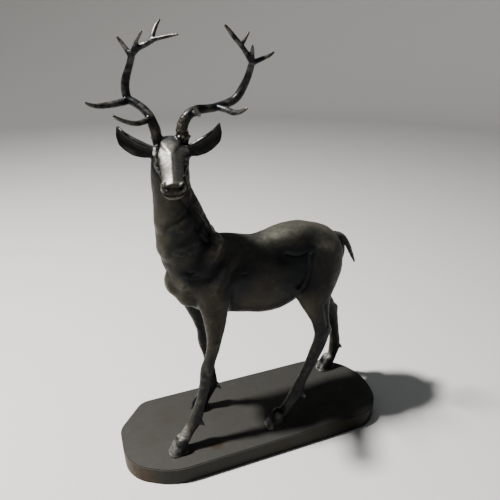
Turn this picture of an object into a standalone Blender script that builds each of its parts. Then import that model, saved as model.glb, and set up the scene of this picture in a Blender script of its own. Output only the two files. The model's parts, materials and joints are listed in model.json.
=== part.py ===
"""Cast bronze stag on its plinth.

The stag walks towards -X with its head turned to its left, -Y. The origin is the middle of the
plinth's underside, +Z is up. The stag is one casting, the plinth another, and weld beads at the
hooves join the two.
"""
import math

import bmesh
import bpy
import numpy as np
from mathutils import Matrix, Vector

for item in list(bpy.data.objects):
    bpy.data.objects.remove(item, do_unlink=True)

# Driving sizes in metres
STAG_HEIGHT = 1.438        # soles to the highest antler tip
STAG_ALONG = -0.024        # the stag's own zero along X, from the plinth's middle
PLINTH_LENGTH = 1.048
PLINTH_WIDTH = 0.394
PLINTH_HEIGHT = 0.070
PLINTH_EDGE_ROUND = 0.003
SOLE_GAP = 0.0003          # soles to plinth top
METALLIC = 0.85
SHARP_ANGLE = 35           # degrees between the plinth's faces above which an edge looks sharp

# The figure's tables count in parts, this many to its height
PARTS_HIGH = 1438
PART = STAG_HEIGHT / PARTS_HIGH
GRAIN = 3.0                # parts: the cell in which the joined forms are blended
BLEND_PASSES = 60          # rounds of smoothing that melt the joined forms together
FACES_LEFT = 9300          # triangles kept on the stag
FACE_KEPT = 1.5            # how much harder the face holds on to its triangles

# How far the face, antlers, tail and legs are kept from that smoothing, from 0 to 1
FACE_FIRM = 0.91
ANTLER_FIRM = 0.04
TAIL_FIRM = 0.85
LEG_BLEND_HEIGHTS = (60, 120, 400, 560)
LEG_BLEND = (0.07, 0.12, 0.25, 1.0)
# Over which runs those shares set in: in the head's unpitched frame, and along the tail
FACE_AHEAD = (-5, 30)
FACE_UP = (-140, -110)
CROWN_UP = (-50, -20)
ANTLER_UP = (0, 20)
BARE_UP = (20, 40)         # above the poll, where the face's closer triangles end
TAIL_ALONG = (345, 370)

LEFT = -1
RIGHT = 1
BOTH = (LEFT, RIGHT)
ACROSS = Vector((0, 1, 0))
END_ANGLES = (30, 58, 80)  # degrees up the round ends of a form at which it has a ring

# How square the sections of the forms are: 2 is an ellipse, more is squarer, less has a ridge
LIMB_SQUARE = 2.15
HOOF_SQUARE = 2.2
SKULL_SQUARE = 2.4
NOSE_SQUARE = 1.2
FOREHEAD_SQUARE = 2.6
EAR_SQUARE = 3.0

# Trunk, front to back: x, y, z, half width, depth up, depth down
TRUNK = (
    (-232, 0, 640, 58, 76, 60),
    (-205, 0, 640, 80, 118, 104),
    (-150, 0, 640, 88, 146, 132),
    (-90, 0, 634, 92, 158, 136),
    (0, 0, 622, 97, 146, 143),
    (67, 0, 614, 99, 157, 150),
    (114, 0, 624, 96, 157, 148),
    (160, 0, 648, 91, 144, 122),
    (215, 0, 660, 86, 132, 108),
    (270, 0, 662, 78, 112, 104),
    (318, 0, 656, 62, 92, 98),
    (346, 0, 654, 40, 68, 76),
)

# Neck, chest to poll: x, y, z, half width, depth ahead, depth behind
NECK = (
    (-176, 0, 630, 74, 78, 80),
    (-188, 0, 690, 80, 94, 92),
    (-204, 0, 755, 76, 100, 100),
    (-220, 0, 820, 68, 94, 92),
    (-232, 0, 885, 61, 80, 78),
    (-244, 0, 950, 56, 66, 62),
    (-250, -4, 1010, 54, 60, 60),
    (-249, -8, 1050, 52, 56, 58),
    (-247, -10, 1078, 45, 46, 48),
)

# Masses on both sides: x, y outwards, z, half lengths along x, y, z, lean of the top backwards
MASSES = (
    (-172, 47, 722, 52, 33, 112, 34),
    (-116, 72, 634, 48, 26, 78, 20),
    (-226, 50, 662, 36, 30, 52, 10),
    (-222, 32, 612, 46, 38, 56, 0),
    (-250, 32, 790, 34, 30, 110, -6),
    (190, 44, 744, 46, 26, 34, 0),
    (244, 42, 704, 76, 42, 58, -12),
    (308, 34, 692, 40, 30, 56, 0),
)
STIFLES = ((186, -88, 560, 34, 24, 46, 20), (236, 86, 556, 38, 25, 50, 12))

# Legs, top to sole: x, y, z, half width, depth behind, depth ahead
FORE_LEFT = (
    (-150, -64, 640, 38, 54, 60),
    (-146, -73, 580, 35, 52, 56),
    (-148, -80, 515, 30, 44, 42),
    (-151, -84, 449, 25, 30, 30),
    (-160, -86, 397, 21, 22, 24),
    (-172, -88, 358, 20, 20, 22),
    (-184, -90, 318, 22, 22, 26),
    (-196, -93, 270, 18, 20, 20),
    (-208, -95, 215, 16, 19, 19),
    (-226, -98, 162, 17, 21, 20),
    (-243, -100, 118, 21, 26, 23),
    (-268, -104, 78, 18, 21, 21),
    (-288, -107, 48, 19, 23, 24),
)
FORE_RIGHT = (
    (-186, 62, 640, 38, 58, 58),
    (-185, 64, 575, 35, 54, 58),
    (-180, 64, 510, 29, 42, 42),
    (-165, 64, 440, 24, 28, 28),
    (-153, 65, 385, 20, 22, 24),
    (-148, 66, 325, 21, 22, 25),
    (-139, 67, 275, 18, 19, 20),
    (-132, 68, 215, 16, 18, 18),
    (-125, 70, 153, 17, 19, 19),
    (-127, 70, 112, 20, 23, 21),
    (-145, 71, 70, 18, 20, 20),
    (-162, 72, 42, 19, 23, 24),
)
HIND_LEFT = (
    (262, -50, 705, 44, 90, 84),
    (252, -64, 640, 44, 96, 92),
    (236, -80, 585, 40, 86, 80),
    (228, -90, 535, 34, 70, 68),
    (236, -97, 492, 28, 53, 52),
    (249, -99, 442, 23, 40, 37),
    (260, -100, 398, 21, 33, 33),
    (262, -101, 362, 21, 31, 30),
    (242, -103, 298, 18, 26, 26),
    (212, -105, 234, 17, 23, 22),
    (182, -108, 172, 17, 20, 21),
    (160, -110, 124, 21, 28, 24),
    (131, -113, 80, 18, 21, 22),
    (104, -117, 46, 19, 24, 25),
)
HIND_RIGHT = (
    (262, 50, 705, 44, 90, 84),
    (264, 66, 640, 44, 96, 92),
    (268, 80, 580, 40, 86, 84),
    (288, 89, 520, 34, 70, 70),
    (326, 94, 457, 28, 52, 52),
    (366, 98, 397, 23, 40, 38),
    (404, 100, 345, 21, 32, 34),
    (424, 101, 302, 21, 28, 27),
    (443, 105, 243, 17, 22, 22),
    (453, 109, 188, 17, 22, 22),
    (461, 113, 134, 19, 25, 25),
    (462, 115, 106, 20, 26, 25),
    (457, 117, 74, 18, 21, 21),
    (446, 118, 44, 19, 24, 24),
)

# Points of the hocks, from the joint back to the heel bone
HOCKS = (
    ((262, -100, 392), (286, -100, 384), (290, -100, 368)),
    ((412, 100, 336), (437, 100, 333), (443, 100, 314)),
)

# Hooves: toe x, heel x, y, half width of the two claws
HOOVES = (
    (-346, -272, -111, 27),
    (-218, -144, 73, 27),
    (34, 112, -119, 27),
    (386, 464, 119, 27),
)
HOCK_RADII = (22, 15, 11)

# Grooves and ridges down the outer side of each leg: side, width, rise, points x, z
LEG_STROKES = (
    (LEFT, 9, -6, ((254, 500), (264, 470), (277, 410))),
    (LEFT, 6, -3, ((258, 320), (222, 238), (192, 176))),
    (LEFT, 10, 3, ((240, 352), (254, 372))),
    (LEFT, 8, -5, ((-136, 566), (-140, 505), (-150, 440))),
    (LEFT, 6, -3, ((-188, 296), (-200, 218), (-218, 168))),
    (LEFT, 7, -3, ((-196, 352), (-204, 330), (-198, 302))),
    (RIGHT, 9, -6, ((330, 492), (358, 452), (420, 378))),
    (RIGHT, 6, -3, ((440, 292), (461, 200), (468, 140))),
    (RIGHT, 8, -5, ((-172, 566), (-170, 505), (-160, 440))),
    (RIGHT, 6, -3, ((-134, 300), (-123, 218), (-117, 158))),
)
HOOF_HEIGHT = 46
# One claw, coronet to sole: middle from the toe, outwards, height, half width, aft, ahead
CLAW = (
    (0.64, 0.40, 1.30, 0.42, 0.22, 0.20),
    (0.60, 0.46, 0.92, 0.50, 0.32, 0.30),
    (0.54, 0.52, 0.45, 0.54, 0.40, 0.40),
    (0.49, 0.54, 0.02, 0.54, 0.46, 0.47),
    (0.49, 0.54, -0.20, 0.54, 0.46, 0.47),
)

# Dewclaws, two behind each fetlock: x, y, z of the root
DEWCLAWS = ((-232, -101, 112), (-112, 70, 108), (176, -111, 118), (474, 115, 122))
DEWCLAW_SPREAD = 11
DEWCLAW_FALL = ((0, 0), (12, -8), (20, -22))
DEWCLAW_RADII = (9, 7.5, 3.4)

TAIL = (
    (336, 0, 722, 20, 15, 18),
    (374, 0, 712, 19, 11, 14),
    (403, 0, 678, 18, 9, 12),
    (425, 0, 636, 14, 7, 10),
    (446, 0, 590, 5, 4, 5),
)

# A stroke of carving ends at this many widths, and works fully on surface turned to it by this much
STROKE_REACH = 2.6
FULL_FACING = 0.4
LEAST_FACING = 0.05

# Carving on the sides of the body: width, rise (hollows are negative), points x, z
SIDE_STROKES = (
    (4.5, 4, ((206, 702), (200, 678), (191, 650), (180, 620), (168, 594), (158, 574))),
    (5, -3.2, ((195, 690), (187, 660), (177, 628), (164, 600), (154, 584))),
    (5, -4, ((213, 700), (206, 660), (196, 626), (184, 598), (170, 572))),
    (26, -6, ((220, 644), (200, 606))),
    (5, -4.5, ((118, 714), (135, 706), (152, 701), (172, 701), (194, 707), (212, 717))),
    (16, -4, ((110, 702), (160, 690), (190, 694))),
    (28, -5, ((20, 742), (80, 724), (130, 702))),
    (28, 5, ((40, 768), (130, 764), (205, 762))),
    (30, -4, ((150, 668), (116, 636))),
    (16, -5, ((228, 736), (254, 741), (296, 730), (330, 704))),
    (26, 5, ((224, 686), (226, 648))),
    (36, 5, ((284, 700), (286, 630))),
    (18, -3, ((250, 700), (252, 650), (246, 596))),
    (20, 4, ((-122, 788), (-178, 706))),
    (30, -4, ((-60, 780), (-52, 712))),
    (20, -5, ((-150, 806), (-192, 752), (-232, 700))),
    (18, 6, ((-74, 728), (-108, 692), (-148, 630))),
    (36, 5, ((-92, 652), (-126, 606))),
    (16, -4, ((-84, 690), (-112, 642))),
    (14, -6, ((-76, 526), (-77, 570), (-80, 612))),
    (18, 5, ((-100, 574), (-106, 592))),
    (28, 4, ((-246, 672), (-238, 650))),
    (14, -4, ((-262, 636), (-222, 612), (-196, 586))),
    (10, -4, ((-190, 934), (-226, 894), (-254, 872), (-280, 858))),
    (22, 3, ((-186, 904), (-228, 862), (-262, 838))),
    (15, -4, ((-160, 862), (-204, 829), (-240, 808), (-266, 784))),
    (26, 2.5, ((-172, 826), (-214, 786), (-252, 760))),
    (14, -2.5, ((-152, 822), (-188, 776), (-222, 744))),
)

# The same on the front of the neck and the breast: width, rise, points y, z
FRONT_STROKES = (
    (20, 3.5, ((-10, 866), (-36, 858))),
    (16, -4, ((0, 836), (-42, 824))),
    (20, 3.5, ((-10, 772), (-36, 760))),
    (14, -3.5, ((0, 744), (-42, 730))),
    (10, -4.5, ((-14, 688), (-30, 662), (-46, 626))),
    (10, -4.5, ((14, 688), (30, 662), (46, 626))),
)

# The head's own frame: x ahead, y to the stag's left, z up, from the poll
HEAD_AT = (-246, -20, 1125)
HEAD_TURN = 77.9           # degrees to the stag's left
HEAD_PITCH = 28            # degrees by which the face's top line drops
SKULL = (
    (-38, 0, -58, 32, 26, 28),
    (-20, 0, -52, 42, 38, 38),
    (8, 0, -46, 47, 42, 44),
    (40, 0, -44, 51, 36, 44),
    (68, 0, -42, 51, 28, 42),
    (98, 0, -37, 41, 22, 36),
    (130, 0, -31, 33, 17, 30),
    (158, 0, -26, 32, 15, 24),
    (174, 0, -25, 35, 19, 22),
    (184, 0, -25, 36, 17, 19),
)
# The top of the face, from the forehead to the nose: two flat planes that meet in a ridge
NOSE_PLANE = (
    (2, 0, -16, 34, 17, 14),
    (32, 0, -17, 56, 21, 10),
    (66, 0, -19, 50, 24, 10),
    (98, 0, -18, 39, 23, 11),
    (130, 0, -15, 34, 20, 12),
    (158, 0, -11, 32, 17, 12),
    (189, 0, -9, 32, 13, 12),
)
# The flat triangle between the antlers from which the ridge runs down
FOREHEAD = (
    (-4, 0, -6, 34, 9, 12),
    (20, 0, -6, 33, 11, 12),
    (46, 0, -4, 22, 10, 10),
    (70, 0, 0, 8, 6, 8),
)
JAW = (
    (8, 0, -70, 34, 28, 24),
    (42, 0, -76, 33, 28, 22),
    (82, 0, -68, 27, 24, 18),
    (120, 0, -56, 24, 20, 15),
    (155, 0, -48, 26, 17, 14),
    (180, 0, -42, 31, 15, 13),
    (193, 0, -39, 31, 14, 13),
)
EYEBALL = (77, 39, -27, 10, 9, 9)
CHEEK = (26, 40, -54, 36, 14, 28)
NOSTRIL_WING = (183, 25, -9, 9, 9, 9)

# Carving on the face, in the face's frame: look, width, rise, points
FROM_SIDE = (0.10, 1.0, 0.25)
FROM_FRONT = (1.0, 0.0, 0.0)
FROM_NOSTRIL = (0.75, 0.60, 0.25)
FACE_STROKES = (
    (FROM_FRONT, 2.4, -1.4, ((180, -37, -32), (194, -18, -29.5), (198, 0, -28), (194, 18, -29.5), (180, 37, -32))),
    (FROM_FRONT, 7, 2.5, ((196, -14, -42), (198, 0, -43), (196, 14, -42))),
)
# The same for carving that is on both sides of the face
CHEEK_STROKES = (
    (FROM_SIDE, 9, -4, ((98, 34, -26), (128, 31, -24), (164, 31, -22))),
    (FROM_SIDE, 6, -2.5, ((62, 44, -20), (72, 44, -14), (88, 42, -17), (98, 40, -26))),
    (FROM_SIDE, 6, -3, ((88, 44, -28), (116, 36, -36))),
    (FROM_SIDE, 3, -4.5, ((194, 34, -29), (176, 34, -32), (150, 30, -40))),
    (FROM_SIDE, 9, -4, ((66, 38, -66), (112, 30, -56), (140, 28, -50))),
    (FROM_NOSTRIL, 3.2, -5, ((184, 30, -5), (190, 26, -9), (193, 20, -13))),
)
FACE_DEPTH = 40            # how far in front of and behind a stroke the surface may lie

# Ears, root to tip, in the unpitched head frame: x, y, z, half width, depth, depth
EAR = (
    (6, 44, -35, 14, 9, 9),
    (-3, 64, -37, 22, 6, 6),
    (-10, 86, -33, 28, 4.8, 4.8),
    (-14, 108, -23, 29, 4.6, 4.6),
    (-18, 127, -7, 25, 4.4, 4.4),
    (-20, 140, 13, 14, 4.2, 4.2),
    (-21, 147, 33, 4, 3.6, 3.6),
)
EAR_BLADE = (0.42, -0.52, 0.75)
EAR_CUP = 0.75

# Antlers in the unpitched head frame: points x, y, z and the radii along them
BEAM_LEFT = (
    (
        (-6, 37, -16), (-6, 37, 2), (-6, 37, 12), (-4, 36, 28), (-5, 52, 58), (-15, 80, 74),
        (-30, 113, 75), (-45, 144, 77), (-62, 189, 89), (-66, 209, 103), (-66, 223, 125), (-62, 234, 147),
        (-55, 242, 169), (-46, 247, 191), (-38, 249, 207),
    ),
    (17, 22, 17, 16.5, 15.5, 14.5, 13, 13, 13, 13, 12.5, 11.5, 10.5, 10, 9),
)
TINES_LEFT = (
    (((-38, 248, 200), (-30, 231, 225), (-20, 213, 248), (-10, 194, 268), (0, 180, 284), (10, 167, 298)),
     (9, 8, 7.5, 7, 6, 4)),
    (((-20, 214, 246), (-35, 228, 263), (-45, 240, 280)), (6.5, 5, 3)),
    (((-38, 248, 205), (-20, 246, 234), (-5, 244, 247)), (8, 6, 3.4)),
    (((-40, 250, 199), (-50, 279, 209), (-55, 301, 217), (-55, 315, 226)), (8.5, 7, 5.5, 3.2)),
    (((-45, 140, 78), (-20, 166, 73), (10, 184, 69), (35, 199, 73), (55, 209, 81), (70, 216, 89)),
     (11, 10.5, 9.5, 8, 6, 3.4)),
    (((-10, 76, 68), (20, 82, 67), (50, 81, 72), (75, 78, 84), (95, 70, 103)), (12, 10, 9, 7.5, 3.6)),
)
BEAM_RIGHT = (
    (
        (-8, -36, -16), (-8, -38, 2), (-7, -39, 12), (-5, -41, 26), (-6, -49, 50), (-15, -57, 67),
        (-30, -76, 85), (-42, -97, 97),
        (-50, -112, 106), (-56, -117, 126), (-58, -116, 146), (-56, -111, 165), (-52, -104, 182),
        (-46, -96, 202), (-40, -91, 217), (-34, -88, 230),
    ),
    (15, 16, 16, 16, 15, 13.5, 12.5, 12.5, 12.5, 12.5, 12.5, 12, 11, 10, 10, 9.5),
)
TINES_RIGHT = (
    (((-38, -90, 220), (-45, -102, 237), (-52, -113, 253), (-55, -125, 270)), (9, 7.5, 6, 3.6)),
    (((-34, -87, 226), (-25, -78, 246), (-12, -70, 262), (0, -55, 284)), (8, 6.5, 5, 3)),
    (((-34, -88, 226), (-30, -70, 242), (-22, -44, 253), (-16, -28, 262), (-10, -10, 267), (0, 20, 273),
      (8, 39, 276)), (9.5, 9, 8, 7, 6, 5, 3.4)),
    (((-16, -32, 258), (-26, -24, 282), (-34, -16, 298), (-40, -6, 312)), (6.5, 6, 5, 3)),
    (((-50, -110, 101), (-20, -147, 96), (10, -180, 96), (30, -195, 99), (50, -207, 106), (65, -214, 114)),
     (11.5, 10.5, 9, 7.5, 6, 3.2)),
    (((-5, -52, 56), (20, -75, 50), (45, -92, 52), (75, -116, 64), (95, -132, 75), (105, -142, 85)),
     (10, 8.5, 7.5, 6.5, 5.5, 3.2)),
)

# Plinth corners in turn: shares of the half length and half width, and each one's rounding as a
# share of the half width
PLINTH_CORNERS = (
    (-1.00, 0.38, 0.15),
    (-1.00, -0.34, 0.30),
    (-0.93, -0.66, 0.41),
    (-0.72, -1.00, 0.41),
    (0.83, -1.00, 0.25),
    (0.965, -0.64, 0.41),
    (1.00, -0.20, 0.36),
    (1.00, 0.14, 0.36),
    (0.93, 0.58, 0.41),
    (0.72, 1.00, 0.30),
    (-0.80, 1.00, 0.15),
)
CORNER_STEPS = 5           # straight runs round each corner
CORNER_ROOM = 0.49         # the most of a side that one corner's rounding takes


def between(before, start, end, after, t):
    """The value at share t of the way from start to end on a smooth curve through all four."""
    turn = 2 * before - 5 * start + 4 * end - after
    twist = 3 * start - before - 3 * end + after
    return start + ((end - before) * t + turn * t ** 2 + twist * t ** 3) / 2


def smooth_rows(rows, steps):
    """Rows of numbers with `steps` of them along a smooth curve for each one given."""
    out = []
    last = len(rows) - 1
    for i in range(last):
        columns = list(zip(rows[max(i - 1, 0)], rows[i], rows[i + 1], rows[min(i + 2, last)]))
        for k in range(steps):
            out.append(tuple(between(*column, k / steps) for column in columns))
    out.append(tuple(float(value) for value in rows[-1]))
    return out


def loft(bm, rows, side=ACROSS, frame=Matrix(), sides=24, steps=5, square=2.0, cup=0.0, dome=0.55):
    """A closed form through rows of x, y, z, half width along `side`, and two half depths across it."""
    rings = smooth_rows(rows, steps)
    centres = [Vector(row[:3]) for row in rings]
    last = len(rings) - 1
    tangents = [(centres[min(i + 1, last)] - centres[max(i - 1, 0)]).normalized() for i in range(last + 1)]

    def ring(centre, along, width, plus, minus):
        wide = (side - along * side.dot(along)).normalized()
        deep = along.cross(wide)
        verts = []
        for k in range(sides):
            angle = 2 * math.pi * k / sides
            u = math.copysign(abs(math.cos(angle)) ** (2 / square), math.cos(angle))
            v = math.copysign(abs(math.sin(angle)) ** (2 / square), math.sin(angle))
            depth = plus if v > 0 else minus
            offset = wide * width * u + deep * (depth * v + cup * width * (u * u - 0.5))
            verts.append(bm.verts.new(frame @ (centre + offset)))
        return verts

    def cap(index, outwards):
        width, plus, minus = rings[index][3:6]
        reach = min(width, (plus + minus) / 2) * dome * 2
        return [
            ring(
                centres[index] + tangents[index] * outwards * reach * math.sin(angle), tangents[index],
                width * math.cos(angle), plus * math.cos(angle), minus * math.cos(angle))
            for angle in map(math.radians, END_ANGLES)]

    loops = cap(0, -1)[::-1]
    loops += [ring(c, t, *row[3:6]) for c, t, row in zip(centres, tangents, rings)]
    loops += cap(last, 1)
    for a, b in zip(loops, loops[1:]):
        for k in range(sides):
            bm.faces.new((a[k], a[(k + 1) % sides], b[(k + 1) % sides], b[k]))
    bm.faces.new(loops[0][::-1])
    bm.faces.new(loops[-1])


def ball(bm, centre, radii, frame=Matrix(), lean=0.0):
    """An ellipsoid whose top leans by `lean` degrees towards +X."""
    place = frame @ Matrix.Translation(centre) @ Matrix.Rotation(math.radians(lean), 4, "Y")
    bmesh.ops.create_uvsphere(
        bm, u_segments=28, v_segments=16, radius=1, matrix=place @ Matrix.Diagonal((*radii, 1)))


def horn(bm, points, radii, frame=Matrix()):
    """A round tapering branch."""
    rows = [(*point, r, r, r) for point, r in zip(points, radii)]
    run = Vector(points[-1]) - Vector(points[0])
    side = min(Matrix.Identity(3), key=lambda axis: abs(axis.dot(run)))
    loft(bm, rows, side=side, frame=frame, sides=14, dome=0.5)


def head_frames():
    """The head's unpitched frame and its frame along the face."""
    level = Matrix.Translation(HEAD_AT) @ Matrix.Rotation(math.radians(180 + HEAD_TURN), 4, "Z")
    return level, level @ Matrix.Rotation(math.radians(HEAD_PITCH), 4, "Y")


def add_body(bm):
    loft(bm, TRUNK, sides=36, square=LIMB_SQUARE)
    loft(bm, NECK, sides=32)
    for side in BOTH:
        for x, y, z, rx, ry, rz, lean in MASSES:
            ball(bm, (x, y * side, z), (rx, ry, rz), lean=lean)
    for x, y, z, rx, ry, rz, lean in STIFLES:
        ball(bm, (x, y, z), (rx, ry, rz), lean=lean)
    loft(bm, TAIL, sides=16)


def add_legs(bm):
    for rows in (FORE_LEFT, FORE_RIGHT, HIND_LEFT, HIND_RIGHT):
        loft(bm, rows, square=LIMB_SQUARE)
    for points in HOCKS:
        horn(bm, points, HOCK_RADII)
    for toe, heel, y, half in HOOVES:
        add_hoof(bm, toe, heel, y, half)
    for x, y, z in DEWCLAWS:
        for side in BOTH:
            points = [(x + back, y + side * DEWCLAW_SPREAD, z + drop) for back, drop in DEWCLAW_FALL]
            horn(bm, points, DEWCLAW_RADII)


def add_hoof(bm, toe, heel, y, half):
    """Two claws side by side, each widening from the coronet to a long sole."""
    length = heel - toe
    for side in BOTH:
        rows = [
            (toe + middle * length, y + side * half * out, height * HOOF_HEIGHT, half * wide,
             aft * length, ahead * length)
            for middle, out, height, wide, aft, ahead in CLAW]
        loft(bm, rows, sides=18, square=HOOF_SQUARE, dome=0.3)


def add_head(bm):
    level, face = head_frames()
    loft(bm, SKULL, frame=face, square=SKULL_SQUARE)
    loft(bm, NOSE_PLANE, frame=face, square=NOSE_SQUARE, dome=0.15)
    loft(bm, FOREHEAD, frame=face, square=FOREHEAD_SQUARE, dome=0.3)
    loft(bm, JAW, frame=face)
    for side in BOTH:
        for x, y, z, rx, ry, rz in (EYEBALL, CHEEK, NOSTRIL_WING):
            ball(bm, (x, y * side, z), (rx, ry, rz), frame=face)
        rows = [(x, y * side, *rest) for x, y, *rest in EAR]
        blade = Vector((EAR_BLADE[0], EAR_BLADE[1] * side, EAR_BLADE[2])).normalized()
        loft(bm, rows, side=blade, frame=level, sides=20, square=EAR_SQUARE, cup=EAR_CUP * side, dome=0.4)
    for (points, radii), tines in ((BEAM_LEFT, TINES_LEFT), (BEAM_RIGHT, TINES_RIGHT)):
        horn(bm, points, radii, frame=level)
        for tine_points, tine_radii in tines:
            horn(bm, tine_points, tine_radii, frame=level)


def evaluated(mesh, *modifiers, weights=None):
    """The mesh with modifiers (type, settings) applied; `weights` fills the vertex group 'blend'."""
    holder = bpy.data.objects.new("holder", mesh)
    bpy.context.collection.objects.link(holder)
    if weights is not None:
        group = holder.vertex_groups.new(name="blend")
        for level in np.unique(weights):
            group.add(np.flatnonzero(weights == level).tolist(), float(level), "REPLACE")
    for kind, settings in modifiers:
        modifier = holder.modifiers.new(kind.title(), kind)
        for name, value in settings.items():
            setattr(modifier, name, value)
    graph = bpy.context.evaluated_depsgraph_get()
    result = bpy.data.meshes.new_from_object(holder.evaluated_get(graph))
    bpy.data.objects.remove(holder)
    return result


def ramp(values, start, end):
    """0 up to start, 1 from end on."""
    return np.clip((values - start) / (end - start), 0, 1)


def face_share(points):
    """1 on the face and the crown, 0 behind and below them, and the height above the poll."""
    level, _ = head_frames()
    ahead, _, up = ((points - np.array(HEAD_AT)) @ np.array(level.to_3x3())).T
    face = ramp(ahead, *FACE_AHEAD) * ramp(up, *FACE_UP)
    return np.maximum(face, ramp(up, *CROWN_UP)), up


def blend_weight(points):
    """How strongly each point is smoothed: fully on the trunk, hardly on feet, face, tail and antlers."""
    share, up = face_share(points)
    head = 1 - FACE_FIRM * share - ANTLER_FIRM * ramp(up, *ANTLER_UP)
    legs = np.interp(points[:, 2], LEG_BLEND_HEIGHTS, LEG_BLEND)
    tail = 1 - TAIL_FIRM * ramp(points[:, 0], *TAIL_ALONG)
    return np.round(np.minimum(np.minimum(head, legs), tail), 2)


def carve(points, normals, path, width, rise, look, depth=None):
    """Raises or sinks the surface that faces `look` along a path, fading away over `width`.

    The surface lies within `depth` of the path, or, with no depth, anywhere on look's side of zero."""
    look = np.array(look, float) / np.linalg.norm(look)
    across = np.eye(3) - np.outer(look, look)
    path = np.array(path, float)
    lowest, highest = 0, np.inf
    if depth is not None:
        lowest, highest = min(path @ look) - depth, max(path @ look) + depth
    path = path @ across
    reach = STROKE_REACH * width
    flat = points @ across
    ahead = points @ look
    near = np.flatnonzero(
        np.all(flat > path.min(0) - reach, axis=1) & np.all(flat < path.max(0) + reach, axis=1)
        & (normals @ look > LEAST_FACING) & (ahead > lowest) & (ahead < highest))
    flat = flat[near]
    gap = np.full(len(near), np.inf)
    for start, end in zip(path, path[1:]):
        run = end - start
        share = np.clip((flat - start) @ run / max(run @ run, 1e-9), 0, 1)
        gap = np.minimum(gap, np.linalg.norm(flat - start - share[:, None] * run, axis=1))
    facing = np.clip(normals[near] @ look / FULL_FACING, 0, 1)
    points[near] += normals[near] * (rise * facing * np.exp(-(gap / width) ** 2))[:, None]


def vertex_array(mesh, name):
    values = np.empty(len(mesh.vertices) * 3, np.float32)
    mesh.vertices.foreach_get(name, values)
    return values.reshape(-1, 3).astype(float)


def stag_mesh():
    """The joined forms, blended into one skin and carved."""
    bm = bmesh.new()
    add_body(bm)
    add_legs(bm)
    add_head(bm)
    bmesh.ops.recalc_face_normals(bm, faces=bm.faces)
    forms = bpy.data.meshes.new("forms")
    bm.to_mesh(forms)
    bm.free()
    skin = evaluated(forms, ("REMESH", {"mode": "VOXEL", "voxel_size": GRAIN}))
    weights = blend_weight(vertex_array(skin, "co"))
    smoothing = {"factor": 1.0, "iterations": BLEND_PASSES, "vertex_group": "blend"}
    skin = evaluated(skin, ("SMOOTH", smoothing), weights=weights)
    points = vertex_array(skin, "co")
    normals = vertex_array(skin, "normal")
    carve_body(points, normals)
    skin.vertices.foreach_set("co", carve_face(points, normals).ravel())
    skin.update()
    return skin


def carve_body(points, normals):
    strokes = [(side, *stroke) for stroke in SIDE_STROKES for side in BOTH]
    for side, width, rise, path in (*strokes, *LEG_STROKES):
        carve(points, normals, [(x, 0, z) for x, z in path], width, rise, (0, side, 0))
    for width, rise, path in FRONT_STROKES:
        carve(points, normals, [(0, y, z) for y, z in path], width, rise, (-1, 0, 0))


def carve_face(points, normals):
    """The points with the face carved, worked out in the face's own frame."""
    face = np.array(head_frames()[1])
    turn, place = face[:3, :3], face[:3, 3]
    local = (points - place) @ turn
    local_normals = normals @ turn
    for look, width, rise, path in FACE_STROKES:
        carve(local, local_normals, path, width, rise, look, FACE_DEPTH)
    for (ahead, out, up), width, rise, path in CHEEK_STROKES:
        for side in BOTH:
            mirrored = [(x, y * side, z) for x, y, z in path]
            carve(local, local_normals, mirrored, width, rise, (ahead, out * side, up), FACE_DEPTH)
    return local @ turn.T + place


def face_weight(points):
    """1 where triangles are taken away freely, 0 on the face."""
    share, up = face_share(points)
    return np.round(1 - share * (1 - ramp(up, *BARE_UP)), 1)


def build_stag():
    skin = stag_mesh()
    skin.calc_loop_triangles()
    settings = {
        "ratio": FACES_LEFT / len(skin.loop_triangles), "use_collapse_triangulate": True,
        "vertex_group": "blend", "vertex_group_factor": FACE_KEPT}
    reduced = evaluated(skin, ("DECIMATE", settings), weights=face_weight(vertex_array(skin, "co")))
    bm = bmesh.new()
    bm.from_mesh(reduced)
    flatten_soles(bm)
    mesh = bpy.data.meshes.new("stag")
    bmesh.ops.scale(bm, vec=(PART, PART, PART), verts=bm.verts)
    bm.to_mesh(mesh)
    bm.free()
    mesh.shade_smooth()
    stag = bpy.data.objects.new("stag", mesh)
    bpy.context.collection.objects.link(stag)
    stag.location = (STAG_ALONG, 0, PLINTH_HEIGHT + SOLE_GAP)
    return stag


def flatten_soles(bm):
    """Cuts the hooves off flat at z = 0 and closes the soles."""
    everything = bm.verts[:] + bm.edges[:] + bm.faces[:]
    bmesh.ops.bisect_plane(
        bm, geom=everything, dist=0.001, plane_co=(0, 0, 0), plane_no=(0, 0, -1), clear_outer=True)
    rim = [edge for edge in bm.edges if edge.is_boundary]
    bmesh.ops.holes_fill(bm, edges=rim, sides=0)
    bmesh.ops.triangulate(bm, faces=[face for face in bm.faces if len(face.verts) > 3])


def plinth_outline():
    """The plinth's rounded corners as one closed run of points."""
    half = Vector((PLINTH_LENGTH / 2, PLINTH_WIDTH / 2))
    corners = [Vector((x * half.x, y * half.y)) for x, y, _ in PLINTH_CORNERS]
    points = []
    for i, corner in enumerate(corners):
        before = corners[i - 1] - corner
        after = corners[(i + 1) % len(corners)] - corner
        room = min(before.length, after.length) * CORNER_ROOM
        reach = min(PLINTH_CORNERS[i][2] * half.y, room)
        start = corner + before.normalized() * reach
        end = corner + after.normalized() * reach
        for k in range(CORNER_STEPS + 1):
            t = k / CORNER_STEPS
            points.append(start * (1 - t) ** 2 + corner * 2 * t * (1 - t) + end * t ** 2)
    return points


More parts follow.
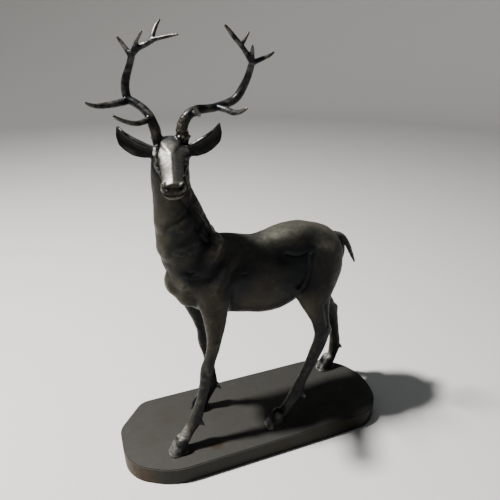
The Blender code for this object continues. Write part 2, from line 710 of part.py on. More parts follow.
def build_plinth():
    bm = bmesh.new()
    floor = [bm.verts.new((point.x, point.y, 0)) for point in plinth_outline()]
    base = bm.faces.new(floor)
    top = bmesh.ops.extrude_face_region(bm, geom=[base])["geom"]
    raised = [v for v in top if isinstance(v, bmesh.types.BMVert)]
    bmesh.ops.translate(bm, verts=raised, vec=(0, 0, PLINTH_HEIGHT))
    bmesh.ops.recalc_face_normals(bm, faces=bm.faces)
    rim = [edge for edge in bm.edges if all(v.co.z > PLINTH_HEIGHT / 2 for v in edge.verts)]
    bmesh.ops.bevel(bm, geom=rim, offset=PLINTH_EDGE_ROUND, segments=2, affect="EDGES")
    bmesh.ops.triangulate(bm, faces=bm.faces)
    mesh = bpy.data.meshes.new("plinth")
    bm.to_mesh(mesh)
    bm.free()
    mesh.shade_smooth()
    mesh.set_sharp_from_angle(angle=math.radians(SHARP_ANGLE))
    plinth = bpy.data.objects.new("plinth", mesh)
    bpy.context.collection.objects.link(plinth)
    return plinth


def bronze(name, colour, roughness):
    material = bpy.data.materials.new(name)
    material.use_nodes = True
    shader = material.node_tree.nodes["Principled BSDF"]
    shader.inputs["Base Color"].default_value = (*colour, 1)
    shader.inputs["Roughness"].default_value = roughness
    shader.inputs["Metallic"].default_value = METALLIC
    return material


build_stag().data.materials.append(bronze("dark_bronze", (0.035, 0.034, 0.030), 0.42))
build_plinth().data.materials.append(bronze("plinth_bronze", (0.075, 0.073, 0.066), 0.55))
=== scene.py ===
"""The looks of a cast bronze stag on its plinth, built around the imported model.

The stag's forms are laid as in the model, then blended and carved at a finer grain, with the eyes,
hair, antler pearls and weld beads that belong to the surface. Both bronzes, a pale studio floor,
soft light and the camera follow.
"""
import json
import math

import bmesh
import bpy
import numpy as np
from mathutils import Matrix, Vector, noise

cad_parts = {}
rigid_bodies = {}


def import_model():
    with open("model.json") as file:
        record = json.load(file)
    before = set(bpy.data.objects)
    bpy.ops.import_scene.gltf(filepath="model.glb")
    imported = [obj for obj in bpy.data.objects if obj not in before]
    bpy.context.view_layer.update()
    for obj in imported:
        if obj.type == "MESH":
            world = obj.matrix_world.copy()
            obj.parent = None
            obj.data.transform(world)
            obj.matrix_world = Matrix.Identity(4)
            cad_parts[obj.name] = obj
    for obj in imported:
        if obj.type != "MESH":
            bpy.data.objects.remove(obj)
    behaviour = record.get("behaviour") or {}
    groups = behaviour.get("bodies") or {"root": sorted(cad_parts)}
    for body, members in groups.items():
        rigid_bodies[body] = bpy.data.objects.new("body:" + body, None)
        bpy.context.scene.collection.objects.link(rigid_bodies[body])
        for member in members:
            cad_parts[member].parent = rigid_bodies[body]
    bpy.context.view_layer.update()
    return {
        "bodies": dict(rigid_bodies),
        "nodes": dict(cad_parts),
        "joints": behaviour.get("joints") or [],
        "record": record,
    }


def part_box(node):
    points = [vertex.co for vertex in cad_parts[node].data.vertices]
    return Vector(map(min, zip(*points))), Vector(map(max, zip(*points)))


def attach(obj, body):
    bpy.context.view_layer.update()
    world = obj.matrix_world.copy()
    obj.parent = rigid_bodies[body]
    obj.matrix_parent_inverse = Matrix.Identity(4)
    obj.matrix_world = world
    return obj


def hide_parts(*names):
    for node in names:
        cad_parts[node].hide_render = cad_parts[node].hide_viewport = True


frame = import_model()
stag_low, stag_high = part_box("stag")
_, plinth_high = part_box("plinth")

STAG_ALONG = -0.024        # the stag's own zero along X, from the plinth's middle

# The figure's tables count in parts, this many to its height
PARTS_HIGH = 1438
PART = (stag_high.z - stag_low.z) / PARTS_HIGH
GRAIN = 2.0  # parts: the cell in which the joined forms are blended
BLEND_PASSES = round(540 / GRAIN ** 2)  # rounds of smoothing that melt the joined forms together
FACES_LEFT = 190000        # triangles kept on the stag
FACE_KEPT = 0.3            # how much harder the face holds on to its triangles

# How far the face, antlers, tail and legs are kept from that smoothing, from 0 to 1
FACE_FIRM = 0.955
ANTLER_FIRM = 0.04
TAIL_FIRM = 0.85
LEG_BLEND_HEIGHTS = (60, 120, 400, 560)
LEG_BLEND = (0.07, 0.12, 0.25, 1.0)
# Over which runs those shares set in: in the head's unpitched frame, and along the tail
FACE_AHEAD = (-5, 30)
FACE_UP = (-140, -110)
CROWN_UP = (-50, -20)
ANTLER_UP = (0, 20)
BARE_UP = (20, 40)         # above the poll, where the face's closer triangles end
TAIL_ALONG = (345, 370)

LEFT = -1
RIGHT = 1
BOTH = (LEFT, RIGHT)
ACROSS = Vector((0, 1, 0))
END_ANGLES = (30, 58, 80)  # degrees up the round ends of a form at which it has a ring

# How square the sections of the forms are: 2 is an ellipse, more is squarer, less has a ridge
LIMB_SQUARE = 2.15
HOOF_SQUARE = 2.2
SKULL_SQUARE = 2.4
NOSE_SQUARE = 1.2
FOREHEAD_SQUARE = 2.6
EAR_SQUARE = 3.0

# Trunk, front to back: x, y, z, half width, depth up, depth down
TRUNK = (
    (-232, 0, 640, 58, 76, 60),
    (-205, 0, 640, 80, 118, 104),
    (-150, 0, 640, 88, 146, 132),
    (-90, 0, 634, 92, 158, 136),
    (0, 0, 622, 97, 146, 143),
    (67, 0, 614, 99, 157, 150),
    (114, 0, 624, 96, 157, 148),
    (160, 0, 648, 91, 144, 122),
    (215, 0, 660, 86, 132, 108),
    (270, 0, 662, 78, 112, 104),
    (318, 0, 656, 62, 92, 98),
    (346, 0, 654, 40, 68, 76),
)

# Neck, chest to poll: x, y, z, half width, depth ahead, depth behind
NECK = (
    (-176, 0, 630, 74, 78, 80),
    (-188, 0, 690, 80, 94, 92),
    (-204, 0, 755, 76, 100, 100),
    (-220, 0, 820, 68, 94, 92),
    (-232, 0, 885, 61, 80, 78),
    (-244, 0, 950, 56, 66, 62),
    (-250, -4, 1010, 54, 60, 60),
    (-249, -8, 1050, 52, 56, 58),
    (-247, -10, 1078, 45, 46, 48),
)

# Masses on both sides: x, y outwards, z, half lengths along x, y, z, lean of the top backwards
MASSES = (
    (-172, 47, 722, 52, 33, 112, 34),
    (-116, 72, 634, 48, 26, 78, 20),
    (-226, 50, 662, 36, 30, 52, 10),
    (-222, 32, 612, 46, 38, 56, 0),
    (-250, 32, 790, 34, 30, 110, -6),
    (190, 44, 744, 46, 26, 34, 0),
    (244, 42, 704, 76, 42, 58, -12),
    (308, 34, 692, 40, 30, 56, 0),
)
# The same on one side only
STIFLES = ((186, -88, 560, 34, 24, 46, 20), (236, 86, 556, 38, 25, 50, 12))

# Legs, top to sole: x, y, z, half width, depth behind, depth ahead
FORE_LEFT = (
    (-150, -64, 640, 38, 54, 60),
    (-146, -73, 580, 35, 52, 56),
    (-148, -80, 515, 30, 44, 42),
    (-151, -84, 449, 25, 30, 30),
    (-160, -86, 397, 21, 22, 24),
    (-172, -88, 358, 20, 20, 22),
    (-184, -90, 318, 22, 22, 26),
    (-196, -93, 270, 18, 20, 20),
    (-208, -95, 215, 16, 19, 19),
    (-226, -98, 162, 17, 21, 20),
    (-243, -100, 118, 21, 26, 23),
    (-268, -104, 78, 18, 21, 21),
    (-288, -107, 48, 19, 23, 24),
)
FORE_RIGHT = (
    (-186, 62, 640, 38, 58, 58),
    (-185, 64, 575, 35, 54, 58),
    (-180, 64, 510, 29, 42, 42),
    (-165, 64, 440, 24, 28, 28),
    (-153, 65, 385, 20, 22, 24),
    (-148, 66, 325, 21, 22, 25),
    (-139, 67, 275, 18, 19, 20),
    (-132, 68, 215, 16, 18, 18),
    (-125, 70, 153, 17, 19, 19),
    (-127, 70, 112, 20, 23, 21),
    (-145, 71, 70, 18, 20, 20),
    (-162, 72, 42, 19, 23, 24),
)
HIND_LEFT = (
    (262, -50, 705, 44, 90, 84),
    (252, -64, 640, 44, 96, 92),
    (236, -80, 585, 40, 86, 80),
    (228, -90, 535, 34, 70, 68),
    (236, -97, 492, 28, 53, 52),
    (249, -99, 442, 23, 40, 37),
    (260, -100, 398, 21, 33, 33),
    (262, -101, 362, 21, 31, 30),
    (242, -103, 298, 18, 26, 26),
    (212, -105, 234, 17, 23, 22),
    (182, -108, 172, 17, 20, 21),
    (160, -110, 124, 21, 28, 24),
    (131, -113, 80, 18, 21, 22),
    (104, -117, 46, 19, 24, 25),
)
HIND_RIGHT = (
    (262, 50, 705, 44, 90, 84),
    (264, 66, 640, 44, 96, 92),
    (268, 80, 580, 40, 86, 84),
    (288, 89, 520, 34, 70, 70),
    (326, 94, 457, 28, 52, 52),
    (366, 98, 397, 23, 40, 38),
    (404, 100, 345, 21, 32, 34),
    (424, 101, 302, 21, 28, 27),
    (443, 105, 243, 17, 22, 22),
    (453, 109, 188, 17, 22, 22),
    (461, 113, 134, 19, 25, 25),
    (462, 115, 106, 20, 26, 25),
    (457, 117, 74, 18, 21, 21),
    (446, 118, 44, 19, 24, 24),
)

# Points of the hocks, from the joint back to the heel bone
HOCKS = (
    ((262, -100, 392), (286, -100, 384), (290, -100, 368)),
    ((412, 100, 336), (437, 100, 333), (443, 100, 314)),
)
HOCK_RADII = (22, 15, 11)

# Hooves: toe x, heel x, y, half width of the two claws
HOOVES = (
    (-346, -272, -111, 27),
    (-218, -144, 73, 27),
    (34, 112, -119, 27),
    (386, 464, 119, 27),
)

# Grooves and ridges down the outer side of each leg: side, width, rise, points x, z
LEG_STROKES = (
    (LEFT, 9, -6, ((254, 500), (264, 470), (277, 410))),
    (LEFT, 6, -3, ((258, 320), (222, 238), (192, 176))),
    (LEFT, 10, 3, ((240, 352), (254, 372))),
    (LEFT, 8, -5, ((-136, 566), (-140, 505), (-150, 440))),
    (LEFT, 6, -3, ((-188, 296), (-200, 218), (-218, 168))),
    (LEFT, 7, -3, ((-196, 352), (-204, 330), (-198, 302))),
    (RIGHT, 9, -6, ((330, 492), (358, 452), (420, 378))),
    (RIGHT, 6, -3, ((440, 292), (461, 200), (468, 140))),
    (RIGHT, 8, -5, ((-172, 566), (-170, 505), (-160, 440))),
    (RIGHT, 6, -3, ((-134, 300), (-123, 218), (-117, 158))),
)
HOOF_HEIGHT = 46
# One claw, coronet to sole: middle from the toe, outwards, height, half width, aft, ahead
CLAW = (
    (0.64, 0.40, 1.30, 0.42, 0.22, 0.20),
    (0.60, 0.46, 0.92, 0.50, 0.32, 0.30),
    (0.54, 0.52, 0.45, 0.54, 0.40, 0.40),
    (0.49, 0.54, 0.02, 0.54, 0.46, 0.47),
    (0.49, 0.54, -0.20, 0.54, 0.46, 0.47),
)

# Dewclaws, two behind each fetlock: x, y, z of the root
DEWCLAWS = ((-232, -101, 112), (-112, 70, 108), (176, -111, 118), (474, 115, 122))
DEWCLAW_SPREAD = 11
DEWCLAW_FALL = ((0, 0), (12, -8), (20, -22))
DEWCLAW_RADII = (9, 7.5, 3.4)

# Tail, root to tip: x, y, z, half width, depth up, depth down
TAIL = (
    (336, 0, 722, 20, 15, 18),
    (374, 0, 712, 19, 11, 14),
    (403, 0, 678, 18, 9, 12),
    (425, 0, 636, 14, 7, 10),
    (446, 0, 590, 5, 4, 5),
)

# A stroke of carving ends at this many widths, and works fully on surface turned to it by this much
STROKE_REACH = 2.6
FULL_FACING = 0.4
LEAST_FACING = 0.05

# Carving on the sides of the body: width, rise (hollows are negative), points x, z
SIDE_STROKES = (
    (4.5, 4, ((206, 702), (200, 678), (191, 650), (180, 620), (168, 594), (158, 574))),
    (5, -3.2, ((195, 690), (187, 660), (177, 628), (164, 600), (154, 584))),
    (5, -4, ((213, 700), (206, 660), (196, 626), (184, 598), (170, 572))),
    (26, -6, ((220, 644), (200, 606))),
    (5, -4.5, ((118, 714), (135, 706), (152, 701), (172, 701), (194, 707), (212, 717))),
    (16, -4, ((110, 702), (160, 690), (190, 694))),
    (28, -5, ((20, 742), (80, 724), (130, 702))),
    (28, 5, ((40, 768), (130, 764), (205, 762))),
    (30, -4, ((150, 668), (116, 636))),
    (16, -5, ((228, 736), (254, 741), (296, 730), (330, 704))),
    (26, 5, ((224, 686), (226, 648))),
    (36, 5, ((284, 700), (286, 630))),
    (18, -3, ((250, 700), (252, 650), (246, 596))),
    (20, 4, ((-122, 788), (-178, 706))),
    (30, -4, ((-60, 780), (-52, 712))),
    (20, -5, ((-150, 806), (-192, 752), (-232, 700))),
    (18, 6, ((-74, 728), (-108, 692), (-148, 630))),
    (36, 5, ((-92, 652), (-126, 606))),
    (16, -4, ((-84, 690), (-112, 642))),
    (14, -6, ((-76, 526), (-77, 570), (-80, 612))),
    (18, 5, ((-100, 574), (-106, 592))),
    (28, 4, ((-246, 672), (-238, 650))),
    (14, -4, ((-262, 636), (-222, 612), (-196, 586))),
    (10, -4, ((-190, 934), (-226, 894), (-254, 872), (-280, 858))),
    (22, 3, ((-186, 904), (-228, 862), (-262, 838))),
    (15, -4, ((-160, 862), (-204, 829), (-240, 808), (-266, 784))),
    (26, 2.5, ((-172, 826), (-214, 786), (-252, 760))),
    (14, -2.5, ((-152, 822), (-188, 776), (-222, 744))),
)

# The same on the front of the neck and the breast: width, rise, points y, z
FRONT_STROKES = (
    (20, 3.5, ((-10, 866), (-36, 858))),
    (16, -4, ((0, 836), (-42, 824))),
    (20, 3.5, ((-10, 772), (-36, 760))),
    (14, -3.5, ((0, 744), (-42, 730))),
    (10, -4.5, ((-14, 688), (-30, 662), (-46, 626))),
    (10, -4.5, ((14, 688), (30, 662), (46, 626))),
)

# The head's own frame, from the poll: x ahead, y to its left, z up. The face's is the same, pitched
HEAD_AT = (-246, -20, 1125)
HEAD_TURN = 77.9           # degrees to the stag's left
HEAD_PITCH = 28            # degrees by which the face's top line drops
HEAD_FRAME = Matrix.Translation(HEAD_AT) @ Matrix.Rotation(math.radians(180 + HEAD_TURN), 4, "Z")
FACE_FRAME = HEAD_FRAME @ Matrix.Rotation(math.radians(HEAD_PITCH), 4, "Y")

# Forms of the head in the face's frame, back to front: x, y, z, half width, depth up, depth down
SKULL = (
    (-38, 0, -58, 32, 26, 28),
    (-20, 0, -52, 42, 38, 38),
    (8, 0, -46, 47, 42, 44),
    (40, 0, -44, 51, 36, 44),
    (68, 0, -42, 51, 28, 42),
    (98, 0, -37, 41, 22, 36),
    (130, 0, -31, 33, 17, 30),
    (158, 0, -26, 32, 15, 24),
    (174, 0, -25, 35, 19, 22),
    (184, 0, -25, 36, 17, 19),
)
# The top of the face, from the forehead to the nose: two flat planes that meet in a ridge
NOSE_PLANE = (
    (2, 0, -16, 34, 17, 14),
    (32, 0, -17, 56, 21, 10),
    (66, 0, -19, 50, 24, 10),
    (98, 0, -18, 39, 23, 11),
    (130, 0, -15, 34, 20, 12),
    (158, 0, -11, 32, 17, 12),
    (189, 0, -9, 32, 13, 12),
)
# The flat triangle between the antlers from which the ridge runs down
FOREHEAD = (
    (-4, 0, -6, 34, 9, 12),
    (20, 0, -6, 33, 11, 12),
    (46, 0, -4, 22, 10, 10),
    (70, 0, 0, 8, 6, 8),
)
JAW = (
    (8, 0, -70, 34, 28, 24),
    (42, 0, -76, 33, 28, 22),
    (82, 0, -68, 27, 24, 18),
    (120, 0, -56, 24, 20, 15),
    (155, 0, -48, 26, 17, 14),
    (180, 0, -42, 31, 15, 13),
    (193, 0, -39, 31, 14, 13),
)
# Rounded forms on both sides of the face: middle x, y, z and half sizes
EYEBALL = (77, 39, -27, 10, 9, 9)
CHEEK = (26, 40, -54, 36, 14, 28)
NOSTRIL_WING = (183, 25, -9, 9, 9, 9)

# Carving on the face, in the face's frame: look, width, rise, points
FROM_SIDE = (0.10, 1.0, 0.25)
FROM_FRONT = (1.0, 0.0, 0.0)
FROM_NOSTRIL = (0.75, 0.60, 0.25)
MOUTH = ((180, -37, -32), (194, -18, -29.5), (198, 0, -28), (194, 18, -29.5), (180, 37, -32))
FACE_STROKES = (
    (FROM_FRONT, 2.4, -1.4, MOUTH),
    (FROM_FRONT, 7, 2.5, ((196, -14, -42), (198, 0, -43), (196, 14, -42))),
)
# The same for carving that is on both sides of the face
CHEEK_STROKES = (
    (FROM_SIDE, 9, -4, ((98, 34, -26), (128, 31, -24), (164, 31, -22))),
    (FROM_SIDE, 6, -2.5, ((62, 44, -20), (72, 44, -14), (88, 42, -17), (98, 40, -26))),
    (FROM_SIDE, 6, -3, ((88, 44, -28), (116, 36, -36))),
    (FROM_SIDE, 3, -4.5, ((194, 34, -29), (176, 34, -32), (150, 30, -40))),
    (FROM_SIDE, 9, -4, ((66, 38, -66), (112, 30, -56), (140, 28, -50))),
    (FROM_NOSTRIL, 3.2, -5, ((184, 30, -5), (190, 26, -9), (193, 20, -13))),
)
FACE_DEPTH = 40            # how far in front of and behind a stroke the surface may lie

# Ears, root to tip, in the unpitched head frame: x, y, z, half width, depth, depth
EAR = (
    (6, 44, -35, 14, 9, 9),
    (-3, 64, -37, 22, 6, 6),
    (-10, 86, -33, 28, 4.8, 4.8),
    (-14, 108, -23, 29, 4.6, 4.6),
    (-18, 127, -7, 25, 4.4, 4.4),
    (-20, 140, 13, 14, 4.2, 4.2),
    (-21, 147, 33, 4, 3.6, 3.6),
)
# The way the width of each ear runs
EAR_BLADE = {side: Vector((0.42, -0.52 * side, 0.75)).normalized() for side in BOTH}
EAR_CUP = 0.75

# Antlers in the unpitched head frame: points x, y, z and the radii along them
BEAM_LEFT = (
    (
        (-6, 37, -16), (-6, 37, 2), (-6, 37, 12), (-4, 36, 28), (-5, 52, 58), (-15, 80, 74),
        (-30, 113, 75), (-45, 144, 77), (-62, 189, 89), (-66, 209, 103), (-66, 223, 125), (-62, 234, 147),
        (-55, 242, 169), (-46, 247, 191), (-38, 249, 207),
    ),
    (17, 22, 17, 16.5, 15.5, 14.5, 13, 13, 13, 13, 12.5, 11.5, 10.5, 10, 9),
)
TINES_LEFT = (
    (((-38, 248, 200), (-30, 231, 225), (-20, 213, 248), (-10, 194, 268), (0, 180, 284), (10, 167, 298)),
     (9, 8, 7.5, 7, 6, 4)),
    (((-20, 214, 246), (-35, 228, 263), (-45, 240, 280)), (6.5, 5, 3)),
    (((-38, 248, 205), (-20, 246, 234), (-5, 244, 247)), (8, 6, 3.4)),
    (((-40, 250, 199), (-50, 279, 209), (-55, 301, 217), (-55, 315, 226)), (8.5, 7, 5.5, 3.2)),
    (((-45, 140, 78), (-20, 166, 73), (10, 184, 69), (35, 199, 73), (55, 209, 81), (70, 216, 89)),
     (11, 10.5, 9.5, 8, 6, 3.4)),
    (((-10, 76, 68), (20, 82, 67), (50, 81, 72), (75, 78, 84), (95, 70, 103)), (12, 10, 9, 7.5, 3.6)),
)
BEAM_RIGHT = (
    (
        (-8, -36, -16), (-8, -38, 2), (-7, -39, 12), (-5, -41, 26), (-6, -49, 50), (-15, -57, 67),
        (-30, -76, 85), (-42, -97, 97),
        (-50, -112, 106), (-56, -117, 126), (-58, -116, 146), (-56, -111, 165), (-52, -104, 182),
        (-46, -96, 202), (-40, -91, 217), (-34, -88, 230),
    ),
    (15, 16, 16, 16, 15, 13.5, 12.5, 12.5, 12.5, 12.5, 12.5, 12, 11, 10, 10, 9.5),
)
TINES_RIGHT = (
    (((-38, -90, 220), (-45, -102, 237), (-52, -113, 253), (-55, -125, 270)), (9, 7.5, 6, 3.6)),
    (((-34, -87, 226), (-25, -78, 246), (-12, -70, 262), (0, -55, 284)), (8, 6.5, 5, 3)),
    (((-34, -88, 226), (-30, -70, 242), (-22, -44, 253), (-16, -28, 262), (-10, -10, 267), (0, 20, 273),
      (8, 39, 276)), (9.5, 9, 8, 7, 6, 5, 3.4)),
    (((-16, -32, 258), (-26, -24, 282), (-34, -16, 298), (-40, -6, 312)), (6.5, 6, 5, 3)),
    (((-50, -110, 101), (-20, -147, 96), (10, -180, 96), (30, -195, 99), (50, -207, 106), (65, -214, 114)),
     (11.5, 10.5, 9, 7.5, 6, 3.2)),
    (((-5, -52, 56), (20, -75, 50), (45, -92, 52), (75, -116, 64), (95, -132, 75), (105, -142, 85)),
     (10, 8.5, 7.5, 6.5, 5.5, 3.2)),
)

# Finer carving on both sides of the face, in the face's frame: look, width, rise, points
FINE_CHEEK = (
    (FROM_SIDE, 2.0, 1.5, ((63, 44, -29), (68, 46, -21), (77, 48, -17.5), (86, 46, -20), (94, 42, -29))),
    (FROM_SIDE, 1.2, -1.2, ((66, 46, -28), (70, 47, -22.5), (77, 49, -20), (85, 47, -22), (92, 43, -29))),
    (FROM_SIDE, 1.6, 1.0, ((63, 44, -29), (70, 45, -33.5), (78, 46, -35.5), (86, 45, -33.5), (94, 42, -30))),
    (FROM_SIDE, 1.1, -1.1, ((66, 46, -28), (72, 46, -31.5), (78, 47, -33), (85, 46, -31.5), (92, 43, -29))),
    (FROM_SIDE, 1.9, -1.2, ((78, 52, -26), (80, 52, -26))),
    (FROM_SIDE, 2.2, -2.2, ((95, 41, -30), (109, 38, -37))),
    (FROM_SIDE, 1.8, 0.9, ((194, 34, -26), (176, 34, -29), (152, 30, -37))),
    (FROM_SIDE, 1.6, -2.0, ((194, 34, -29), (176, 34, -32), (150, 30, -40))),
    (FROM_SIDE, 1.8, 0.9, ((194, 32, -32), (176, 33, -35), (154, 29, -43))),
    (FROM_NOSTRIL, 1.8, -3.0, ((184, 30, -5), (190, 26, -8), (194, 20, -13))),
    (FROM_NOSTRIL, 1.7, 1.4, ((178, 32, -9), (182, 32, -1), (190, 27, 0), (196, 20, -5))),
    (FROM_NOSTRIL, 1.7, 1.0, ((181, 33, -13), (188, 29, -16), (195, 23, -18))),
)
FINE_FACE = (
    (FROM_FRONT, 1.2, -1.2, MOUTH),
    (FROM_FRONT, 1.8, 0.9,
     ((180, -36, -29), (194, -18, -26.5), (198, 0, -25), (194, 18, -26.5), (180, 36, -29))),
    (FROM_FRONT, 2.4, 1.0, ((184, -30, -36), (196, -12, -33), (196, 12, -33), (184, 30, -36))),
    (FROM_FRONT, 1.5, -1.3, ((197, 0, -12), (197, 0, -25))),
)

# Wavy locks down the back of the neck: how far each lies inside its outline, and where its waves start
NECK_LOCKS = ((10, 0.4), (27, 2.2), (47, 4.4))
LOCK_WAVE = (6.0, 118)     # height and length of a wave
LOCK_STROKE = (6.0, -4.6)  # width and rise
LOCK_HEIGHTS = (790, 1050, 10)  # first and last, and the step between a lock's points
# Short creases in the hair of the neck and the shoulder: points x, z
CREASES = (
    ((-234, 707), (-219, 700), (-208, 704)),
    ((-228, 694), (-214, 687), (-202, 692)),
    ((-226, 680), (-212, 675), (-203, 680)),
    ((-258, 772), (-248, 766), (-240, 770)),
    ((-222, 768), (-212, 762), (-206, 768)),
    ((-56, 673), (-44, 670), (-34, 673)),
    ((-176, 566), (-164, 560), (-148, 564)),
    ((-172, 554), (-160, 548), (-146, 553)),
)
CREASE_STROKE = (3.4, -2.0)
# Clumps of hair on the neck: length, width, height, and the way they lie, ahead and down
CLUMP = (64, 13, 2.4)
CLUMP_LIE = (-0.62, -0.78)
CLUMP_HEIGHTS = (690, 760, 1000, 1050)
CLUMP_EDGE = (-10, 40)     # behind the line of the neck's back, where they end
CLUMP_FADE = (-110, -30)   # ahead of it, from faintest to full
CLUMP_FAINTEST = 0.35
CLUMP_BEND = (0.8, 0.15, 0.2)  # how finely they bend along, across and outwards
CLUMP_LEVEL = 0.6          # what of their ridges stays level with the skin
TAIL_GROOVES = (-12, -4, 4, 12)  # how far each lies above the middle of the tail
TAIL_STROKE = (2.5, -1.5)
TAIL_ACROSS = (0.3, 0.6)   # the way across the tail, x and z

# Pearls round the antlers' bases: rings up the beam, pearls to a ring and their size
PEARL_RINGS = {LEFT: (7, 9, 4.6), RIGHT: (1, 9, 3.2)}
PEARL_START = 18           # from the beam's first point to the first ring
PEARL_STEP = 10            # between rings
PEARL_SUNK = 0.25          # share of its size by which a pearl sits in the beam
PEARL_SHRINK = 0.5         # share of its size lost by the last ring
EAR_RIMS = ((1.0, (5.0, 6.8, 8.0, 7.8, 6.6, 4.8, 2.4)), (-0.94, (3.2, 3.2, 3.2, 3.2, 3.2, 3.0, 2.0)))

# Weld at the hooves: the hoof, and where its beads run, as shares of the hoof's half width and length
WELDS = (
    (0, ((-1.08, 0.50), (-1.02, 0.16), (-0.62, 0.01), (0.0, -0.03), (0.62, 0.01), (1.02, 0.18))),
    (2, ((-1.05, 0.40), (-0.95, 0.12), (-0.5, 0.0), (0.4, -0.02), (0.9, 0.05), (1.05, 0.25))),
    (3, ((-1.05, 0.25), (-0.8, 0.04), (0.0, -0.03), (0.8, 0.04))),
)
BEAD = 3.4                 # half thickness of a weld bead
# Weld that fills the cleft of the hooves: share of the length from the toe, height and half sizes
CLEFT_FILL = ((0.14, 8, 10, 10, 14), (0.26, 20, 12, 10, 18), (0.40, 34, 12, 9, 18))
CLEFT_HOOVES = (0, 2)
BEAD_STEP = 5.5            # between the beads' ripples
BEAD_MIDDLE = 2            # above the plinth
BEAD_NOISE = 0.2           # how finely the beads' size wanders
BEAD_LONG = (1, 0.4)       # half length as a share of BEAD: mean and wandering
BEAD_TALL = (1.2, 0.5)     # half height, likewise
# Bright rough metal over the welded feet: middle x, y, z and half sizes
BRIGHT = (
    (-330, -108, 22, 46, 40, 34),
    (-288, -107, 70, 30, 26, 50),
    (36, -119, 14, 26, 36, 34),
    (388, 119, 14, 26, 36, 30),
    (434, 118, 60, 22, 24, 34),
)
BRIGHT_EDGE = 1.6          # how sharply the bright metal ends
UNEVEN = ((46, 1.3), (20, 0.75), (9, 0.28))  # length and height of the hand-worked surface's swells
FACE_CALM = 0.6            # share of those swells that the face lacks
EYE_CAP = 0.45             # the eyeball shows where it is thicker than this share of its radius, squared
FACE_CELLS = 0.5           # the share of face beyond which the skin's cells are halved
FACE_SOFT = {"factor": 0.5, "iterations": 3}

# Patina, and painted light and shade, that follow the form: rounds of averaging over the surface, and the
# gain on the result
EDGE_PASSES = 8
EDGE_GAIN = 12
SWELL_PASSES = (45, 400)   # near and wide: a swell is what differs between the two
SWELL_GAIN = 32
RIGHT_SHADE_SHARE = 0.8           # how dark the right plane of the face is painted, as shade
RIM_SHARE = 0.9            # how far the ears' upper rims are painted bright as lit, in the rubbed metal
RIGHT_PLANE_LIT = 0.15        # how much of the rubbed brightness the right plane keeps, against the left one; the rest is held back as painted shade
BROW_RUBBED = 0.35         # how far the forehead is rubbed, against the nose
# Runs over which those shares set in, or set in and end: turned upwards, up, ahead and to the left
GLOSS_UP = (-12, 6)
GLOSS_OVER_EARS = (0.9, -150, -130)  # slope and heights of a line over the ears' lower edges
RUBBED_TURNED = (0.45, 0.75)
RUBBED_UP = (-22, -14, 12, 20)
RUBBED_END = (184, 194)
RIGHT_LEFT = (1, 12)
BROW_AHEAD = (24, 62)
RIGHT_SHADE_TURNED = (0.30, 0.60)
RIGHT_SHADE_UP = (-34, -22, 12, 20)
RIGHT_SHADE_LEFT = (3, 13)
RIGHT_SHADE_AHEAD = (18, 52, 176, 188)
EAR_UP = (-75, -65)
EAR_AHEAD = (-40, -30)
# The ears' cups, painted dark as shade, and upper rims, painted bright as lit: outwards, slope and height of
# their upper limit, turned
EAR_CUPS = ((50, 62), 0.35, (-8, -2), (0.15, 0.5))
EAR_TOPS = ((54, 66), 0.5, (-6, 2), (0.1, 0.5))


def between(before, start, end, after, t):
    """The value at share t of the way from start to end on a smooth curve through all four."""
    turn = 2 * before - 5 * start + 4 * end - after
    twist = 3 * start - before - 3 * end + after
    return start + ((end - before) * t + turn * t ** 2 + twist * t ** 3) / 2


def smooth_rows(rows, steps):
    """Rows of numbers with `steps` of them along a smooth curve for each one given."""
    out = []
    last = len(rows) - 1
    for i in range(last):
        columns = list(zip(rows[max(i - 1, 0)], rows[i], rows[i + 1], rows[min(i + 2, last)]))
        for k in range(steps):
            out.append(tuple(between(*column, k / steps) for column in columns))
    out.append(tuple(float(value) for value in rows[-1]))
    return out


def loft(bm, rows, side=ACROSS, frame=Matrix(), sides=24, steps=5, square=2.0, cup=0.0, dome=0.55):
    """A closed form through rows of x, y, z, half width along `side`, and two half depths across it."""
    rings = smooth_rows(rows, steps)
    centres = [Vector(row[:3]) for row in rings]
    last = len(rings) - 1
    tangents = [(centres[min(i + 1, last)] - centres[max(i - 1, 0)]).normalized() for i in range(last + 1)]

    def ring(centre, along, width, plus, minus):
        wide = (side - along * side.dot(along)).normalized()
        deep = along.cross(wide)
        verts = []
        for k in range(sides):
            angle = 2 * math.pi * k / sides
            u = math.copysign(abs(math.cos(angle)) ** (2 / square), math.cos(angle))
            v = math.copysign(abs(math.sin(angle)) ** (2 / square), math.sin(angle))
            depth = plus if v > 0 else minus
            offset = wide * width * u + deep * (depth * v + cup * width * (u * u - 0.5))
            verts.append(bm.verts.new(frame @ (centre + offset)))
        return verts

    def cap(index, outwards):
        width, plus, minus = rings[index][3:6]
        reach = min(width, (plus + minus) / 2) * dome * 2
        return [
            ring(
                centres[index] + tangents[index] * outwards * reach * math.sin(angle), tangents[index],
                width * math.cos(angle), plus * math.cos(angle), minus * math.cos(angle))
            for angle in map(math.radians, END_ANGLES)]

    loops = cap(0, -1)[::-1]
    loops += [ring(c, t, *row[3:6]) for c, t, row in zip(centres, tangents, rings)]
    loops += cap(last, 1)
    wrap(bm, loops)


def wrap(bm, loops):
    """Faces over a run of rings and across its two ends."""
    sides = len(loops[0])
    for a, b in zip(loops, loops[1:]):
        for k in range(sides):
            bm.faces.new((a[k], a[(k + 1) % sides], b[(k + 1) % sides], b[k]))
    bm.faces.new(loops[0][::-1])
    bm.faces.new(loops[-1])


